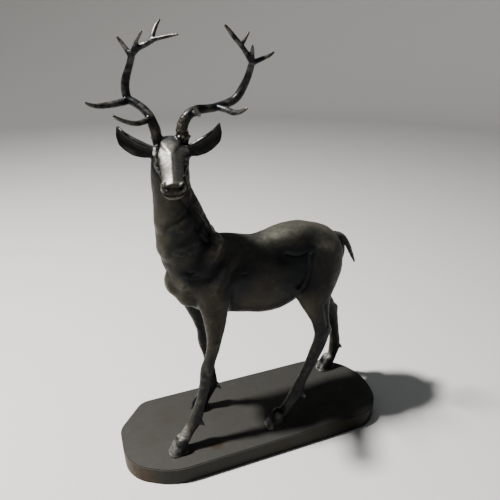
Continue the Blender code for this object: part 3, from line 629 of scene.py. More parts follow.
def ball(bm, centre, radii, frame=Matrix(), lean=0.0, sides=28):
    """An ellipsoid whose top leans by `lean` degrees towards +X."""
    place = frame @ Matrix.Translation(centre) @ Matrix.Rotation(math.radians(lean), 4, "Y")
    place = place @ Matrix.Diagonal((*radii, 1))
    loops = []
    for up in np.linspace(-math.pi / 2, math.pi / 2, sides // 2 + 1)[1:-1]:
        flat, high = math.cos(up), math.sin(up)
        around = [2 * math.pi * k / sides for k in range(sides)]
        spots = [Vector((math.cos(a) * flat, math.sin(a) * flat, high)) for a in around]
        loops.append([bm.verts.new(place @ spot) for spot in spots])
    wrap(bm, loops)


def horn(bm, points, radii, frame=Matrix()):
    """A round tapering branch."""
    rows = [(*point, r, r, r) for point, r in zip(points, radii)]
    run = Vector(points[-1]) - Vector(points[0])
    side = min(Matrix.Identity(3), key=lambda axis: abs(axis.dot(run)))
    loft(bm, rows, side=side, frame=frame, sides=14, dome=0.5)


def add_body(bm):
    loft(bm, TRUNK, sides=36, square=LIMB_SQUARE)
    loft(bm, NECK, sides=32)
    masses = [(x, y * side, *rest) for side in BOTH for x, y, *rest in MASSES]
    for x, y, z, rx, ry, rz, lean in (*masses, *STIFLES):
        ball(bm, (x, y, z), (rx, ry, rz), lean=lean)
    loft(bm, TAIL, sides=16)


def add_legs(bm):
    for rows in (FORE_LEFT, FORE_RIGHT, HIND_LEFT, HIND_RIGHT):
        loft(bm, rows, square=LIMB_SQUARE)
    for points in HOCKS:
        horn(bm, points, HOCK_RADII)
    for hoof in HOOVES:
        add_hoof(bm, *hoof)
    for x, y, z in DEWCLAWS:
        for side in BOTH:
            points = [(x + back, y + side * DEWCLAW_SPREAD, z + drop) for back, drop in DEWCLAW_FALL]
            horn(bm, points, DEWCLAW_RADII)


def add_hoof(bm, toe, heel, y, half):
    """Two claws side by side, each widening from the coronet to a long sole."""
    length = heel - toe
    for side in BOTH:
        rows = [
            (toe + middle * length, y + side * half * out, height * HOOF_HEIGHT, half * wide,
             aft * length, ahead * length)
            for middle, out, height, wide, aft, ahead in CLAW]
        loft(bm, rows, sides=18, square=HOOF_SQUARE, dome=0.3)


def add_head(bm):
    loft(bm, SKULL, frame=FACE_FRAME, square=SKULL_SQUARE)
    loft(bm, NOSE_PLANE, frame=FACE_FRAME, square=NOSE_SQUARE, dome=0.15)
    loft(bm, FOREHEAD, frame=FACE_FRAME, square=FOREHEAD_SQUARE, dome=0.3)
    loft(bm, JAW, frame=FACE_FRAME)
    for side in BOTH:
        for x, y, z, rx, ry, rz in (EYEBALL, CHEEK, NOSTRIL_WING):
            ball(bm, (x, y * side, z), (rx, ry, rz), frame=FACE_FRAME)
        rows = [(x, y * side, *rest) for x, y, *rest in EAR]
        loft(
            bm, rows, EAR_BLADE[side], HEAD_FRAME, sides=20, square=EAR_SQUARE,
            cup=EAR_CUP * side, dome=0.4)
    for branch in (BEAM_LEFT, *TINES_LEFT, BEAM_RIGHT, *TINES_RIGHT):
        horn(bm, *branch, frame=HEAD_FRAME)


def add_object(name, data):
    thing = bpy.data.objects.new(name, data)
    bpy.context.collection.objects.link(thing)
    return thing


def finished(bm, name):
    """A mesh of what has been laid."""
    mesh = bpy.data.meshes.new(name)
    bm.to_mesh(mesh)
    bm.free()
    return mesh


def evaluated(mesh, *modifiers, weights=None):
    """The mesh with modifiers (type, settings) applied; `weights` fills the vertex group 'blend'."""
    holder = add_object("holder", mesh)
    if weights is not None:
        group = holder.vertex_groups.new(name="blend")
        for level in np.unique(weights):
            group.add(np.flatnonzero(weights == level).tolist(), float(level), "REPLACE")
    for kind, settings in modifiers:
        modifier = holder.modifiers.new(kind.title(), kind)
        for name, value in settings.items():
            setattr(modifier, name, value)
    graph = bpy.context.evaluated_depsgraph_get()
    result = bpy.data.meshes.new_from_object(holder.evaluated_get(graph))
    bpy.data.objects.remove(holder)
    return result


def ramp(values, start, end):
    """0 up to start, 1 from end on."""
    return np.clip((values - start) / (end - start), 0, 1)


def band(values, low, full, upper, high):
    """1 from full to upper, 0 up to low and from high on."""
    return ramp(values, low, full) * (1 - ramp(values, upper, high))


def face_share(points):
    """1 on the face and the crown, 0 behind and below them, and the height above the poll."""
    ahead, _, up = ((points - np.array(HEAD_AT)) @ np.array(HEAD_FRAME.to_3x3())).T
    face = ramp(ahead, *FACE_AHEAD) * ramp(up, *FACE_UP)
    return np.maximum(face, ramp(up, *CROWN_UP)), up


def blend_weight(points):
    """How strongly each point is smoothed: fully on the trunk, hardly on feet, face, tail and antlers."""
    share, up = face_share(points)
    head = 1 - FACE_FIRM * share - ANTLER_FIRM * ramp(up, *ANTLER_UP)
    legs = np.interp(points[:, 2], LEG_BLEND_HEIGHTS, LEG_BLEND)
    tail = 1 - TAIL_FIRM * ramp(points[:, 0], *TAIL_ALONG)
    return np.round(np.minimum(np.minimum(head, legs), tail), 2)


def carve(points, normals, path, width, rise, look, depth=None):
    """Raises or sinks the surface that faces `look` along a path, fading away over `width`.

    The surface lies within `depth` of the path, or, with no depth, anywhere on look's side of zero."""
    look = np.array(look, float) / np.linalg.norm(look)
    across = np.eye(3) - np.outer(look, look)
    path = np.array(path, float)
    lowest, highest = 0, np.inf
    if depth is not None:
        lowest, highest = min(path @ look) - depth, max(path @ look) + depth
    path = path @ across
    reach = STROKE_REACH * width
    flat = points @ across
    ahead = points @ look
    near = np.flatnonzero(
        np.all(flat > path.min(0) - reach, axis=1) & np.all(flat < path.max(0) + reach, axis=1)
        & (normals @ look > LEAST_FACING) & (ahead > lowest) & (ahead < highest))
    flat = flat[near]
    gap = np.full(len(near), np.inf)
    for start, end in zip(path, path[1:]):
        run = end - start
        share = np.clip((flat - start) @ run / max(run @ run, 1e-9), 0, 1)
        gap = np.minimum(gap, np.linalg.norm(flat - start - share[:, None] * run, axis=1))
    facing = np.clip(normals[near] @ look / FULL_FACING, 0, 1)
    points[near] += normals[near] * (rise * facing * np.exp(-(gap / width) ** 2))[:, None]


def vertex_array(mesh, name):
    values = np.empty(len(mesh.vertices) * 3, np.float32)
    mesh.vertices.foreach_get(name, values)
    return values.reshape(-1, 3).astype(float)


def surface(mesh):
    """The mesh's points and their normals."""
    return vertex_array(mesh, "co"), vertex_array(mesh, "normal")


def on_both(strokes):
    return [(side, *stroke) for stroke in strokes for side in BOTH]


def carve_sides(points, normals, strokes):
    for side, width, rise, path in strokes:
        carve(points, normals, [(x, 0, z) for x, z in path], width, rise, (0, side, 0))


def carve_body(points, normals):
    carve_sides(points, normals, (*on_both(SIDE_STROKES), *LEG_STROKES))
    for width, rise, path in FRONT_STROKES:
        carve(points, normals, [(0, y, z) for y, z in path], width, rise, (-1, 0, 0))
    carve_sides(points, normals, on_both(hair_strokes()))


def carve_face(points, normals, front, both_sides, eyes=False):
    """The points with the face carved, worked out in the face's own frame."""
    face = np.array(FACE_FRAME)
    turn, place = face[:3, :3], face[:3, 3]
    local = (points - place) @ turn
    local_normals = normals @ turn
    if eyes:
        for side in BOTH:
            set_eye(local, side)
    for look, width, rise, path in front:
        carve(local, local_normals, path, width, rise, look, FACE_DEPTH)
    for (ahead, out, up), width, rise, path in both_sides:
        for side in BOTH:
            mirrored = [(x, y * side, z) for x, y, z in path]
            carve(local, local_normals, mirrored, width, rise, (ahead, out * side, up), FACE_DEPTH)
    return local @ turn.T + place


def face_weight(points):
    """1 where triangles are taken away freely, 0 on the face."""
    share, up = face_share(points)
    return np.round(1 - share * (1 - ramp(up, *BARE_UP)), 1)


def add_fine_forms(bm):
    """Pearls, rolled ear rims and weld beads."""
    for beam, side in ((BEAM_LEFT, LEFT), (BEAM_RIGHT, RIGHT)):
        add_pearls(bm, *beam, *PEARL_RINGS[side])
    for side in BOTH:
        for share, radii in EAR_RIMS:
            horn(bm, ear_edge(side, share), radii, frame=HEAD_FRAME)
    for index, path in WELDS:
        add_weld(bm, HOOVES[index], path)
    for toe, heel, y, _ in (HOOVES[index] for index in CLEFT_HOOVES):
        for share, height, *radii in CLEFT_FILL:
            ball(bm, (toe + share * (heel - toe), y, height), radii, sides=16)


def ear_edge(side, share):
    """Points along one edge of the cupped ear: share 1 is the upper edge, -1 the lower."""
    centres = [Vector((x, y * side, z)) for x, y, z, *_ in EAR]
    points = []
    for i, centre in enumerate(centres[:-1]):
        along = (centres[i + 1] - centres[max(i - 1, 0)]).normalized()
        wide = (EAR_BLADE[side] - along * EAR_BLADE[side].dot(along)).normalized()
        lift = EAR_CUP * side * (share ** 2 - 0.5)
        points.append(centre + (wide * share + along.cross(wide) * lift) * EAR[i][3])
    return [*points, centres[-1]]


def add_pearls(bm, points, radii, rings, count, size):
    path = smooth_rows([(*point, r) for point, r in zip(points, radii)], 8)
    reached = 0.0
    ring = 0
    for before, here in zip(path, path[1:]):
        middle = Vector(here[:3])
        along = middle - Vector(before[:3])
        reached += along.length
        if reached < PEARL_START + ring * PEARL_STEP or ring >= rings:
            continue
        across = along.orthogonal().normalized()
        for k in range(count):
            turn = Matrix.Rotation(2 * math.pi * (k + ring * 0.5) / count, 3, along)
            shrink = 1 - PEARL_SHRINK * ring / rings
            place = middle + turn @ across * (here[3] - size * PEARL_SUNK)
            ball(bm, place, (size * shrink,) * 3, frame=HEAD_FRAME, sides=10)
        ring += 1


def add_weld(bm, hoof, path):
    """A rippled bead along the foot of a hoof."""
    toe, heel, y, half = hoof
    points = [Vector((toe + along * (heel - toe), y + out * half, 0)) for out, along in path]
    for start, end in zip(points, points[1:]):
        steps = max(1, round((end - start).length / BEAD_STEP))
        for k in range(steps):
            middle = start.lerp(end, k / steps)
            wander = noise.noise(middle * BEAD_NOISE)
            long, tall = (mean + change * wander for mean, change in (BEAD_LONG, BEAD_TALL))
            ball(bm, (middle.x, middle.y, BEAD_MIDDLE), (BEAD * long, BEAD, BEAD * tall), sides=10)


def neck_back(height):
    """Where the back of the neck lies at a height."""
    heights = [z for _, _, z, *_ in NECK]
    return np.interp(height, heights, [x + behind for x, _, _, _, _, behind in NECK])


def hair_strokes():
    """Locks, creases and the tail's grooves as strokes of width, rise and points x, z."""
    width, rise = LOCK_STROKE
    wave, length = LOCK_WAVE
    for inset, phase in NECK_LOCKS:
        heights = np.arange(*LOCK_HEIGHTS)
        waves = wave * np.sin(2 * math.pi * heights / length + phase)
        yield width, rise, list(zip(neck_back(heights) - inset + waves, heights))
    for path in CREASES:
        yield *CREASE_STROKE, path
    ahead, up = TAIL_ACROSS
    for above in TAIL_GROOVES:
        yield *TAIL_STROKE, [(x + above * ahead, z + above * up) for x, _, z, *_ in TAIL[1:]]


def set_eye(local, side):
    """Lifts the surface over the eyeball on to it."""
    x, y, z, _, radius, _ = EYEBALL
    room = radius ** 2 - (local[:, 0] - x) ** 2 - (local[:, 2] - z) ** 2
    out = local[:, 1] * side
    near = (out > y - radius / 2) & (out < y + 2 * radius)
    over = np.flatnonzero(near & (room > EYE_CAP * radius ** 2))
    local[over, 1] = side * np.maximum(out[over], y + np.sqrt(room[over]))


def refine_face(skin):
    """The skin with the cells of the face halved."""
    bm = bmesh.new()
    bm.from_mesh(skin)
    share = 1 - face_weight(vertex_array(skin, "co"))
    bm.verts.ensure_lookup_table()
    chosen = [edge for edge in bm.edges if min(share[vert.index] for vert in edge.verts) > FACE_CELLS]
    bmesh.ops.subdivide_edges(bm, edges=chosen, cuts=1, use_grid_fill=True)
    bmesh.ops.triangulate(bm, faces=[face for face in bm.faces if len(face.verts) > 4])
    bm.to_mesh(skin)
    bm.free()
    weights = np.round(1 - face_weight(vertex_array(skin, "co")), 1)
    return evaluated(skin, ("SMOOTH", {**FACE_SOFT, "vertex_group": "blend"}), weights=weights)


def uneven(points, normals):
    """The low swells of a surface worked by hand."""
    share, _ = face_share(points)
    calm = 1 - FACE_CALM * share
    for length, height in UNEVEN:
        swell = np.array([noise.noise(Vector(point) / length) for point in points])
        points += normals * (swell * calm * height)[:, None]


def clumps(points, normals):
    """Raises pointed clumps of hair on the neck, stronger towards its back."""
    length, width, height = CLUMP
    share, _ = face_share(points)
    shown = band(points[:, 2], *CLUMP_HEIGHTS) * (1 - share)
    back = neck_back(points[:, 2])
    behind = points[:, 0] - back
    shown *= 1 - ramp(behind, *CLUMP_EDGE)
    shown *= CLUMP_FAINTEST + (1 - CLUMP_FAINTEST) * ramp(behind, *CLUMP_FADE)
    near = np.flatnonzero(shown > 0.01)
    ahead, down = CLUMP_LIE
    x, y, z = points[near].T
    along = (x * ahead + z * down) / length
    across = (x * down - z * ahead) / width
    for index, spot in zip(near, np.stack((along, across, y / (2 * width)), axis=1)):
        bend = noise.noise(Vector(spot * CLUMP_BEND))
        ridge = 1 - 2 * abs(noise.noise(Vector((spot[0], spot[1] + 2 * bend, spot[2]))))
        points[index] += normals[index] * (height * shown[index] * (ridge - CLUMP_LEVEL))


def stag_mesh():
    """The joined forms, blended into one skin and carved."""
    bm = bmesh.new()
    add_body(bm)
    add_legs(bm)
    add_head(bm)
    add_fine_forms(bm)
    bmesh.ops.recalc_face_normals(bm, faces=bm.faces)
    skin = evaluated(finished(bm, "forms"), ("REMESH", {"mode": "VOXEL", "voxel_size": GRAIN}))
    smoothing = {"factor": 1.0, "iterations": BLEND_PASSES, "vertex_group": "blend"}
    skin = evaluated(skin, ("SMOOTH", smoothing), weights=blend_weight(vertex_array(skin, "co")))
    points, normals = surface(skin)
    carve_body(points, normals)
    skin.vertices.foreach_set("co", carve_face(points, normals, FACE_STROKES, CHEEK_STROKES).ravel())
    skin.update()
    skin = refine_face(skin)
    points, normals = surface(skin)
    points = carve_face(points, normals, FINE_FACE, FINE_CHEEK, eyes=True)
    clumps(points, normals)
    uneven(points, normals)
    skin.vertices.foreach_set("co", points.ravel())
    skin.update()
    return skin


def flatten_soles(bm):
    """Cuts the hooves off flat at z = 0 and closes the soles."""
    everything = bm.verts[:] + bm.edges[:] + bm.faces[:]
    bmesh.ops.bisect_plane(
        bm, geom=everything, dist=0.001, plane_co=(0, 0, 0), plane_no=(0, 0, -1), clear_outer=True)
    rim = [edge for edge in bm.edges if edge.is_boundary]
    bmesh.ops.holes_fill(bm, edges=rim, sides=0)
    bmesh.ops.triangulate(bm, faces=[face for face in bm.faces if len(face.verts) > 3])


def curvature(mesh, passes):
    """How far each point stands out from its neighbours, averaged over the surface around it."""
    points, normals = surface(mesh)
    ends = np.empty(len(mesh.edges) * 2, np.int32)
    mesh.edges.foreach_get("vertices", ends)
    first, second = ends.reshape(-1, 2).T
    count = np.bincount(ends, minlength=len(points))

    def mean_of_neighbours(values):
        return (np.bincount(first, values[second], len(points))
                + np.bincount(second, values[first], len(points))) / count

    middle = np.stack([mean_of_neighbours(axis) for axis in points.T], axis=1)
    length = np.linalg.norm(points[first] - points[second], axis=1)
    size = np.bincount(first, length, len(points)) + np.bincount(second, length, len(points))
    out = ((points - middle) * normals).sum(1) / (size / count)
    for _ in range(passes):
        out = mean_of_neighbours(out)
    return out


def bright_share(points):
    """1 on the rough bright metal at the welded feet."""
    share = np.zeros(len(points))
    for *middle, rx, ry, rz in BRIGHT:
        reach = np.linalg.norm((points - np.array(middle)) / (rx, ry, rz), axis=1)
        share = np.maximum(share, np.clip(BRIGHT_EDGE * (1 - reach ** 2), 0, 1))
    return share


def inside(frame, points, normals):
    """The points' x, y, z in a frame, and how far their normals turn to its x and its z."""
    frame = np.array(frame)
    return (*((points - frame[:3, 3]) @ frame[:3, :3]).T, normals @ frame[:3, 0], normals @ frame[:3, 2])


def ear_shares(points, normals):
    """1 in the cups of the ears, painted dark as shade, and 1 on their upper rims, painted bright as lit."""
    ahead, left, up, to_front, to_top = inside(HEAD_FRAME, points, normals)

    def share(turned, run_out, slope, run_over, run_turned):
        out = np.abs(left)
        under = 1 - ramp(up - slope * out, *run_over)
        return ramp(out, *run_out) * ramp(up, *EAR_UP) * under * ramp(turned, *run_turned)

    return share(to_front, *EAR_CUPS) * ramp(ahead, *EAR_AHEAD), share(to_top, *EAR_TOPS)


def antler_share(points, normals):
    """1 on the antlers, which shine more than the body."""
    _, left, up, *_ = inside(HEAD_FRAME, points, normals)
    slope, *over_ears = GLOSS_OVER_EARS
    return ramp(up, *GLOSS_UP) * ramp(up - slope * np.abs(left), *over_ears)


def face_shares(points, normals):
    """How far the planes of the face are rubbed bright by hands, with the right plane held back, and where
    that right plane is painted dark as shade.
    """
    ahead, left, up, _, to_top = inside(FACE_FRAME, points, normals)
    rubbed_and_lit = ramp(to_top, *RUBBED_TURNED) * band(up, *RUBBED_UP) * (1 - ramp(ahead, *RUBBED_END))
    # the right plane keeps little of it, as painted shade
    rubbed_and_lit *= 1 - (1 - RIGHT_PLANE_LIT) * ramp(left, *RIGHT_LEFT)
    rubbed_and_lit *= BROW_RUBBED + (1 - BROW_RUBBED) * ramp(ahead, *BROW_AHEAD)
    # the right plane, painted dark as shade
    right_shade = ramp(to_top, *RIGHT_SHADE_TURNED) * band(up, *RIGHT_SHADE_UP) * ramp(left, *RIGHT_SHADE_LEFT)
    return rubbed_and_lit, right_shade * band(ahead, *RIGHT_SHADE_AHEAD)


def build_stag():
    skin = stag_mesh()
    skin.calc_loop_triangles()
    settings = {
        "ratio": min(1.0, FACES_LEFT / len(skin.loop_triangles)), "use_collapse_triangulate": True,
        "vertex_group": "blend", "vertex_group_factor": FACE_KEPT}
    reduced = evaluated(skin, ("DECIMATE", settings), weights=face_weight(vertex_array(skin, "co")))
    bm = bmesh.new()
    bm.from_mesh(reduced)
    flatten_soles(bm)
    mesh = finished(bm, "stag_casting")
    mesh.shade_smooth()
    points, normals = surface(mesh)
    out = EDGE_GAIN * curvature(mesh, EDGE_PASSES)
    near, wide = (curvature(mesh, passes) for passes in SWELL_PASSES)
    cups, rims = ear_shares(points, normals)
    rubbed_and_lit, right_shade = face_shares(points, normals)
    shares = {
        "raised": out, "sunk": -out, "swell": 0.5 + SWELL_GAIN * (near - wide),
        "bright": bright_share(points), "antler": antler_share(points, normals),
        # painted highlight on the ears' upper rims, and painted shade in their cups and on the face's right
        # plane
        "rubbed_and_lit": np.maximum(rubbed_and_lit, RIM_SHARE * rims), "painted_shade": np.maximum(cups, RIGHT_SHADE_SHARE * right_shade)}
    for name, share in shares.items():
        attribute = mesh.attributes.new(name, "FLOAT", "POINT")
        attribute.data.foreach_set("value", np.clip(share, 0, 1).astype(np.float32))
    mesh.transform(Matrix.Translation((STAG_ALONG, 0, stag_low.z)) @ Matrix.Scale(PART, 4))
    stag = add_object("stag_casting", mesh)
    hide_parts("stag")
    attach(stag, "root")
    return stag


class Nodes:
    """Adds nodes to a material and links their inputs by name or number."""

    def __init__(self, name):
        self.material = bpy.data.materials.new(name)
        self.material.use_nodes = True
        self.tree = self.material.node_tree
        self.shader = self.tree.nodes["Principled BSDF"]

    def add(self, kind, inputs=None, **settings):
        node = self.tree.nodes.new(kind)
        for name, value in settings.items():
            setattr(node, name, value)
        self.fill(node, inputs or {})
        return node

    def fill(self, node, inputs):
        for name, value in inputs.items():
            socket = node.inputs[name]
            if isinstance(value, bpy.types.NodeSocket):
                self.tree.links.new(value, socket)
            elif isinstance(value, tuple) and len(value) == 3 and socket.type == "RGBA":
                socket.default_value = (*value, 1)
            else:
                socket.default_value = value

    def place(self):
        return self.add("ShaderNodeTexCoord").outputs["Object"]

    def along(self, vector, axis):
        return self.add("ShaderNodeSeparateXYZ", {"Vector": vector}).outputs[axis]

    def facing_up(self):
        return self.along(self.add("ShaderNodeNewGeometry").outputs["Normal"], "Z")

    def noise(self, scale, detail, roughness=0.55):
        inputs = {"Vector": self.place(), "Scale": scale, "Detail": detail, "Roughness": roughness}
        return self.add("ShaderNodeTexNoise", inputs).outputs["Fac"]

    def ramp(self, value, start, end, low=0.0, high=1.0):
        node = self.add("ShaderNodeMapRange", {
            "Value": value, "From Min": start, "From Max": end, "To Min": low, "To Max": high},
            interpolation_type="SMOOTHSTEP")
        return node.outputs["Result"]

    def mix(self, share, first, second):
        return self.add("ShaderNodeMix", {"Factor": share, 6: first, 7: second}, data_type="RGBA").outputs[2]

    def layers(self, colour, layers):
        """The colour with others laid over it, each by its share."""
        for share, tint in layers:
            colour = self.mix(share, colour, tint)
        return colour

    def math(self, operation, first, second):
        return self.add("ShaderNodeMath", {0: first, 1: second}, operation=operation).outputs[0]

    def times(self, first, second):
        return self.math("MULTIPLY", first, second)

    def attribute(self, name):
        return self.add("ShaderNodeAttribute", attribute_name=name).outputs["Fac"]

    def bump(self, height, distance, strength=1.0, below=None):
        inputs = {"Height": height, "Distance": distance, "Strength": strength}
        if below:
            inputs["Normal"] = below
        return self.add("ShaderNodeBump", inputs).outputs["Normal"]


# Colours of the stag's patina, and of the light and shade painted over it
COOL = (0.0048, 0.0056, 0.0066)
OLIVE = (0.0185, 0.0165, 0.0108)
BROWN = (0.032, 0.023, 0.0125)
DUST = (0.060, 0.060, 0.050)
ANTLERS = (0.006, 0.0062, 0.0066)
# Dark patina in broad hollows, deepened and tinted blue-black as painted shade
HOLLOW_PATINA_AND_SHADE = (0.003, 0.0041, 0.0058)
# Paler patina on broad swells, brightened as painted light
SWELL_PATINA_AND_LIGHT = (0.054, 0.049, 0.037)
WORN_EDGES = (0.12, 0.114, 0.098)
# Darker patina in creases, and painted shade in the ears' cups and on the face's right plane
CREASE_DARK_AND_SHADE = (0.006, 0.006, 0.006)
# Rubbed metal, also laid as a painted highlight on the ears' upper rims
RUBBED_AND_LIT = (0.110, 0.108, 0.102)
SILVER = (0.15, 0.146, 0.136)

# Colours of the plinth: its top, its sides, the end ahead of the stag and what lies over them
TOP = ((0.041, 0.040, 0.0365), (0.030, 0.0296, 0.027))
TOP_MOTTLE = (0.054, 0.051, 0.044)
SIDES = ((0.0075, 0.0080, 0.0055), (0.014, 0.0122, 0.0075))
BROWN_END = (0.050, 0.031, 0.013)
# A paler line round the top's rim: worn metal, and painted light over the dark that the rim's bevel shows
PLINTH_EDGE = (0.065, 0.062, 0.053)
STAIN = (0.030, 0.022, 0.014)
PIT = (0.012, 0.011, 0.010)
# Stains on the plinth's top: x, y, reach and strength
STAINS = (
    (-0.197, -0.135, 0.034, 0.9), (-0.34, 0.075, 0.075, 0.35), (-0.43, -0.02, 0.05, 0.3),
    (0.02, 0.06, 0.06, 0.3))


def stag_bronze():
    """Near-black patina, brown and olive in patches, rubbed paler where it stands out, with painted light
    and shade.
    """
    nodes = Nodes("stag_bronze")
    patches = nodes.noise(5.5, detail=3)
    mottle = nodes.noise(38, detail=6, roughness=0.65)
    speckle = nodes.noise(90, detail=8, roughness=0.7)
    scratches = nodes.noise(150, detail=5, roughness=0.7)
    grain = nodes.noise(420, detail=3, roughness=0.6)
    sunk, bright, antler, swell = map(nodes.attribute, ("sunk", "bright", "antler", "swell"))
    dust = nodes.times(nodes.ramp(nodes.facing_up(), 0.0, 0.85), nodes.ramp(speckle, 0.32, 0.66, 0.45, 0.85))
    worn = nodes.times(nodes.attribute("raised"), nodes.ramp(mottle, 0.30, 0.62))
    # darker in creases, and painted shade in the ears' cups and on the face's right plane
    creases_and_shade = nodes.math("MAXIMUM", nodes.ramp(sunk, 0.1, 0.8, 0, 0.8), nodes.attribute("painted_shade"))
    rubbed_and_lit = nodes.times(nodes.attribute("rubbed_and_lit"), nodes.ramp(scratches, 0.36, 0.62, 0.45, 1.0))
    colour = nodes.layers(COOL, (
        (nodes.ramp(patches, 0.40, 0.62), OLIVE),
        (nodes.ramp(mottle, 0.50, 0.70, 0, 0.60), BROWN),
        (nodes.times(dust, nodes.ramp(antler, 0, 1, 1.0, 0.12)), DUST),
        (nodes.times(antler, 0.6), ANTLERS),
        # patina darkened in broad hollows as painted shade
        (nodes.ramp(swell, 0.52, 0.25, 0, 0.90), HOLLOW_PATINA_AND_SHADE),
        # patina lightened on broad swells as painted light
        (nodes.ramp(swell, 0.54, 0.85, 0, 0.34), SWELL_PATINA_AND_LIGHT),
        (nodes.ramp(worn, 0.25, 1.0, 0, 0.6), WORN_EDGES),
        (creases_and_shade, CREASE_DARK_AND_SHADE),
        # rubbed metal, and a painted highlight on the ears' upper rims
        (rubbed_and_lit, RUBBED_AND_LIT),
        (nodes.times(bright, nodes.ramp(scratches, 0.36, 0.66, 0.38, 1.0)), SILVER)))
    rough = nodes.ramp(speckle, 0.35, 0.65, 0.40, 0.58)
    for share, change in ((sunk, 0.2), (rubbed_and_lit, -0.12), (antler, -0.17)):
        rough = nodes.math("ADD", rough, nodes.times(share, change))
    height = nodes.times(grain, nodes.math("ADD", nodes.times(bright, 4.0), 1.0))
    relief = nodes.bump(height, 0.0004, 0.5)
    nodes.fill(nodes.shader, {
        "Base Color": colour, "Roughness": rough, "Specular IOR Level": 0.24,
        "Metallic": nodes.ramp(rubbed_and_lit, 0, 1, 0.5, 1.0),
        "Normal": nodes.bump(speckle, 0.0012, 0.45, below=relief)})
    return nodes.material


def plinth_bronze():
    """Dull grey-olive bronze with pits and stains, darker and browner down the sides."""
    nodes = Nodes("plinth_bronze")
    where = nodes.place()
    stains = nodes.noise(7, detail=5, roughness=0.6)
    mottle = nodes.noise(45, detail=6, roughness=0.65)
    grain = nodes.noise(500, detail=2)
    pits = nodes.add("ShaderNodeTexVoronoi", {"Vector": where, "Scale": 60}, feature="F1")
    pit = nodes.times(nodes.ramp(pits.outputs["Distance"], 0.10, 0.02), nodes.ramp(mottle, 0.50, 0.60))
    up = nodes.facing_up()
    above = nodes.mix(nodes.ramp(stains, 0.35, 0.68), *TOP)
    above = nodes.mix(nodes.ramp(mottle, 0.50, 0.75, 0, 0.4), above, TOP_MOTTLE)
    beside = nodes.mix(nodes.ramp(stains, 0.40, 0.62), *SIDES)
    end = nodes.ramp(nodes.along(where, "X"), -0.38, -0.52)
    beside = nodes.mix(nodes.times(end, nodes.ramp(mottle, 0.35, 0.62, 0.25, 1.0)), beside, BROWN_END)
    # a paler line round the top's rim: worn metal, and painted light over the bevel's dark
    edge = nodes.times(nodes.ramp(up, 0.08, 0.25), nodes.ramp(up, 0.999, 0.975))
    layers = [(nodes.ramp(up, 0.5, 0.9), above), (edge, PLINTH_EDGE)]
    for x, y, size, strength in STAINS:
        spot = {0: where, 1: (x, y, plinth_high.z)}
        away = nodes.add("ShaderNodeVectorMath", spot, operation="DISTANCE").outputs["Value"]
        stained = nodes.ramp(away, size, size * 0.3, 0, strength)
        layers.append((nodes.times(stained, nodes.ramp(mottle, 0.38, 0.56)), STAIN))
    relief = nodes.bump(mottle, 0.0006, 0.2, below=nodes.bump(grain, 0.0002, 0.3))
    nodes.fill(nodes.shader, {
        "Base Color": nodes.layers(beside, [*layers, (pit, PIT)]), "Metallic": 0.55,
        "Roughness": nodes.ramp(stains, 0.3, 0.7, 0.42, 0.62), "Specular IOR Level": 0.22,
        "Normal": nodes.bump(nodes.times(pit, -1.0), 0.0008, 1.0, below=relief)})
    return nodes.material


# Stage: a pale floor that rises all round in one sweep, a key light ahead of the stag, weak light above
FLOOR_RADIUS = 7.0
SWEEP_RADIUS = 2.5
SWEEP_HEIGHT = 3.0
SWEEP_SIDES = 96
SWEEP_STEPS = 12
FLOOR_RINGS = (0.15, 0.4, 0.7)  # shares of the radius at which the floor has rings of points
FLOOR_COLOUR = (0.44, 0.44, 0.43)
LIGHTS_AIM = (0, 0, 0.6)
KEY_TRAVEL = (-11, 60)     # degrees: which way the key light travels over the floor, and how steeply down
KEY_DISTANCE = 5.0
KEY_SIZE = 0.42
KEY_POWER = 1150
KEY_COLOUR = (1.0, 0.97, 0.93)
OVERHEAD_AT = (-1.0, 0.9, 4.1)
OVERHEAD_SIZE = 3.5
OVERHEAD_POWER = 22
SURROUND = (0.74, 0.82, 0.94)
SURROUND_STRENGTH = 0.09
CAMERA_AT = (-0.5732, -1.4385, 1.5042)
CAMERA_TURN = -21.307      # degrees about Z, 0 looks along +Y
CAMERA_DOWN = 25.043       # degrees below level
CAMERA_SENSOR = 36
CAMERA_LENS = CAMERA_SENSOR * 490.6 / 500


def add_light(name, size, power, place, colour=(1, 1, 1)):
    lamp = bpy.data.lights.new(name, "AREA")
    lamp.shape = "DISK"
    lamp.size = size
    lamp.energy = power
    lamp.color = colour
    light = add_object(name, lamp)
    light.location = place
    light.rotation_euler = (Vector(LIGHTS_AIM) - Vector(place)).to_track_quat("-Z", "Y").to_euler()


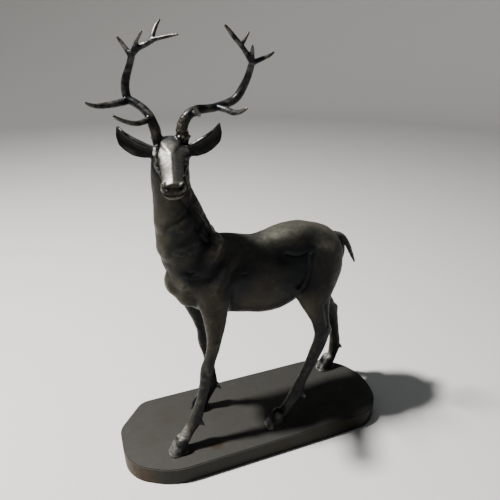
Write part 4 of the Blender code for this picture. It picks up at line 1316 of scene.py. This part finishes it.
def build_stage():
    bm = bmesh.new()
    profile = [(FLOOR_RADIUS * share, 0.0) for share in FLOOR_RINGS]
    for step in range(SWEEP_STEPS + 1):
        angle = math.pi / 2 * step / SWEEP_STEPS
        out, up = math.sin(angle), 1 - math.cos(angle)
        profile.append((FLOOR_RADIUS + SWEEP_RADIUS * out, SWEEP_RADIUS * up))
    profile.append((FLOOR_RADIUS + SWEEP_RADIUS, SWEEP_RADIUS + SWEEP_HEIGHT))
    turns = [2 * math.pi * k / SWEEP_SIDES for k in range(SWEEP_SIDES)]
    loops = [[bm.verts.new((r * math.cos(a), r * math.sin(a), z)) for a in turns] for r, z in profile]
    wrap(bm, loops)
    bm.faces.ensure_lookup_table()
    bmesh.ops.delete(bm, geom=[bm.faces[-1]], context="FACES_ONLY")
    mesh = finished(bm, "floor")
    mesh.shade_smooth()
    floor = add_object("floor", mesh)
    nodes = Nodes("floor_paint")
    nodes.fill(nodes.shader, {"Base Color": FLOOR_COLOUR, "Roughness": 0.8})
    floor.data.materials.append(nodes.material)
    turn, down = map(math.radians, KEY_TRAVEL)
    travel = Vector((math.cos(turn) * math.cos(down), math.sin(turn) * math.cos(down), -math.sin(down)))
    add_light("key", KEY_SIZE, KEY_POWER, Vector(LIGHTS_AIM) - travel * KEY_DISTANCE, KEY_COLOUR)
    add_light("overhead", OVERHEAD_SIZE, OVERHEAD_POWER, OVERHEAD_AT)
    world = bpy.data.worlds.new("studio")
    bpy.context.scene.world = world
    world.use_nodes = True
    background = world.node_tree.nodes["Background"]
    background.inputs["Color"].default_value = (*SURROUND, 1)
    background.inputs["Strength"].default_value = SURROUND_STRENGTH


def build_camera():
    lens = bpy.data.cameras.new("camera")
    lens.sensor_width = CAMERA_SENSOR
    lens.lens = CAMERA_LENS
    camera = add_object("camera", lens)
    camera.location = CAMERA_AT
    camera.rotation_euler = (math.radians(90 - CAMERA_DOWN), 0, math.radians(CAMERA_TURN))
    bpy.context.scene.camera = camera


build_stag().data.materials.append(stag_bronze())
plinth = frame["nodes"]["plinth"]
plinth.data.materials.clear()
plinth.data.materials.append(plinth_bronze())
build_stage()
build_camera()
